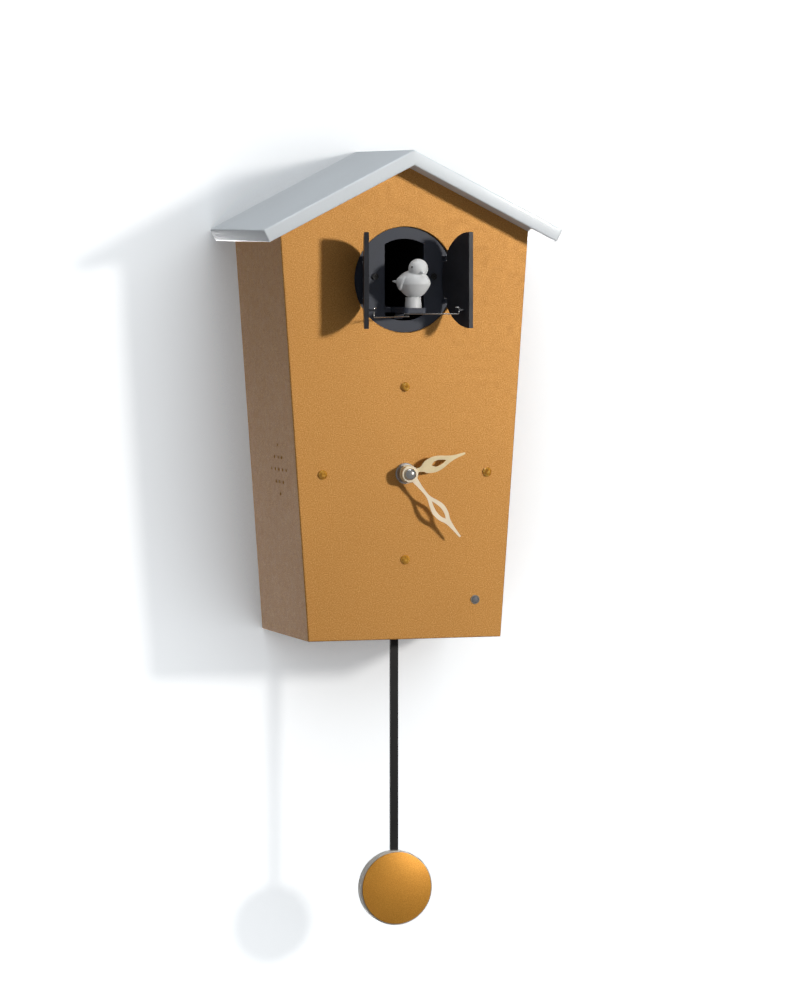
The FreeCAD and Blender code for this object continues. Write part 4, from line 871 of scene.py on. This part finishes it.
dress("shaft_washer", steel)
dress("shaft_nut", zinc, 0.0002)

# Movement: a black quartz case behind the dial, its nylon motion work, the
# copper-wound coil and the knob that sets the hands from behind.
case_black = moulded("movement_black", (0.012, 0.012, 0.013), 0.38, 0.2, 0.0008, 0.00002)
copper = moulded("copper_winding", (0.62, 0.24, 0.08), 0.3, 0.25, 0.0004, 0.00005, metal=0.9,
                 stretch=(1, 0.02, 0.02))
dress("movement_case", case_black, 0.0003)
dress("movement_cover", case_black, 0.0003)
dress("movement_coil", copper)
dress("minute_arbor", steel)
dress("minute_wheel", nylon)
dress("hour_tube", brass)
dress("setting_knob", nylon, 0.0002)

# Pendulum: a flat black rod hung on the movement's pin by a nylon hanger, and
# a 50 mm puck with a pressed bronze-gold disc let into its front.
rod_black = moulded("rod_black", (0.010, 0.010, 0.010), 0.42, 0.25, 0.0007, 0.00001, metal=0.3,
                    stretch=(1, 1, 0.1))
bob_gold, tree, shader = surface("bob_gold", 0.55, 0.1, 0.3)
sheen = grain(tree, 0.0006, 2.0, 0.7)
cloud = grain(tree, 0.02, 2.0)
join(tree, shades(tree, sheen, [(0.3, (0.60, 0.24, 0.022)), (0.5, (0.72, 0.32, 0.036)),
                                (0.7, (0.84, 0.42, 0.07))]), shader.inputs["Base Color"])
join(tree, spread(tree, cloud, 0.40, 0.5), shader.inputs["Roughness"])
relief(tree, shader, sheen, 0.000015)
bob_rim = moulded("bob_rim", (0.66, 0.63, 0.57), 0.34, 0.05, 0.0008, 0.00001, metal=0.3, patch=0.01)
dress("pendulum_rod", rod_black, 0.0003)
dress("pendulum_hanger", nylon, 0.0002)
dress("pendulum_magnet", steel)
puck_low, puck_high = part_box("bob_body")
disc_low, disc_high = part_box("bob_face")
puck_at = (puck_low + puck_high) / 2
disc_r = (disc_high.x - disc_low.x) / 2
dress("bob_body", bob_rim)
disc_t = disc_high.y - disc_low.y
lathe("bob_disc", [(0, disc_r - 0.0001), (0.0003, disc_r), (disc_t - 0.0003, disc_r),
                   (disc_t - 0.0001, disc_r - 0.00012), (disc_t, disc_r - 0.0004), (disc_t, 0.0)],
      (puck_at.x, disc_high.y, puck_at.z), (0, -1, 0), bob_gold, "pendulum", ["bob_face"], 128)

# Circuit board and sound: a green board on posts behind the front, with its
# chip, capacitors, sockets, volume lever and button, and the wiring to it.
board_green = moulded("board_green", (0.012, 0.13, 0.045), 0.3, 0.35, 0.0022, 0.00003, coat=0.3)
part_black = moulded("component_black", (0.02, 0.02, 0.021), 0.45, 0.25, 0.0008, 0.00002)
wire_red = moulded("wire_red", (0.40, 0.03, 0.02), 0.4, 0.1, 0.0008, 0.00001)
dress("circuit_board", board_green)
dress("board_components", part_black, 0.0002)
dress("board_posts", nylon)
dress("volume_lever", part_black, 0.0002)
dress("demo_button", nylon, 0.0002)
dress("pan_screws", zinc)
dress("wiring", wire_red)

# Speaker: pressed steel basket screwed behind the sound holes, with a black
# paper cone glued in its rim and a ferrite magnet on its back.
paper = moulded("cone_paper", (0.03, 0.03, 0.032), 0.85, 0.3, 0.0007, 0.00008)
ferrite = moulded("ferrite", (0.05, 0.05, 0.052), 0.6, 0.2, 0.0005, 0.00004)
dress("speaker_frame", rod_black)
dress("speaker_cone", paper)
dress("speaker_magnet", ferrite, 0.0004)

# Batteries: three cells side by side in an open moulded holder on the bottom
# board, each with a dark sleeve, between sprung contact plates.
sleeve, tree, shader = surface("cell_sleeve", 0.4, 0.4, 0.1)
place = tree.nodes.new("ShaderNodeTexCoord")
apart = tree.nodes.new("ShaderNodeSeparateXYZ")
join(tree, place.outputs["Object"], apart.inputs["Vector"])
cell_half = 0.026
lengthwise = tree.nodes.new("ShaderNodeMapRange")
lengthwise.inputs["From Min"].default_value = -cell_half
lengthwise.inputs["From Max"].default_value = cell_half
join(tree, apart.outputs["X"], lengthwise.inputs["Value"])
join(tree, shades(tree, lengthwise.outputs["Result"],
                  [(0.0, (0.02, 0.02, 0.025)), (0.66, (0.03, 0.03, 0.035)),
                   (0.68, (0.50, 0.27, 0.05)), (1.0, (0.58, 0.33, 0.08))]),
     shader.inputs["Base Color"])
join(tree, spread(tree, grain(tree, 0.004), 0.2, 0.32), shader.inputs["Roughness"])
dress("battery_holder", part_black, 0.0003)
dress("batteries", sleeve)
dress("battery_contacts", steel)

low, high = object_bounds()
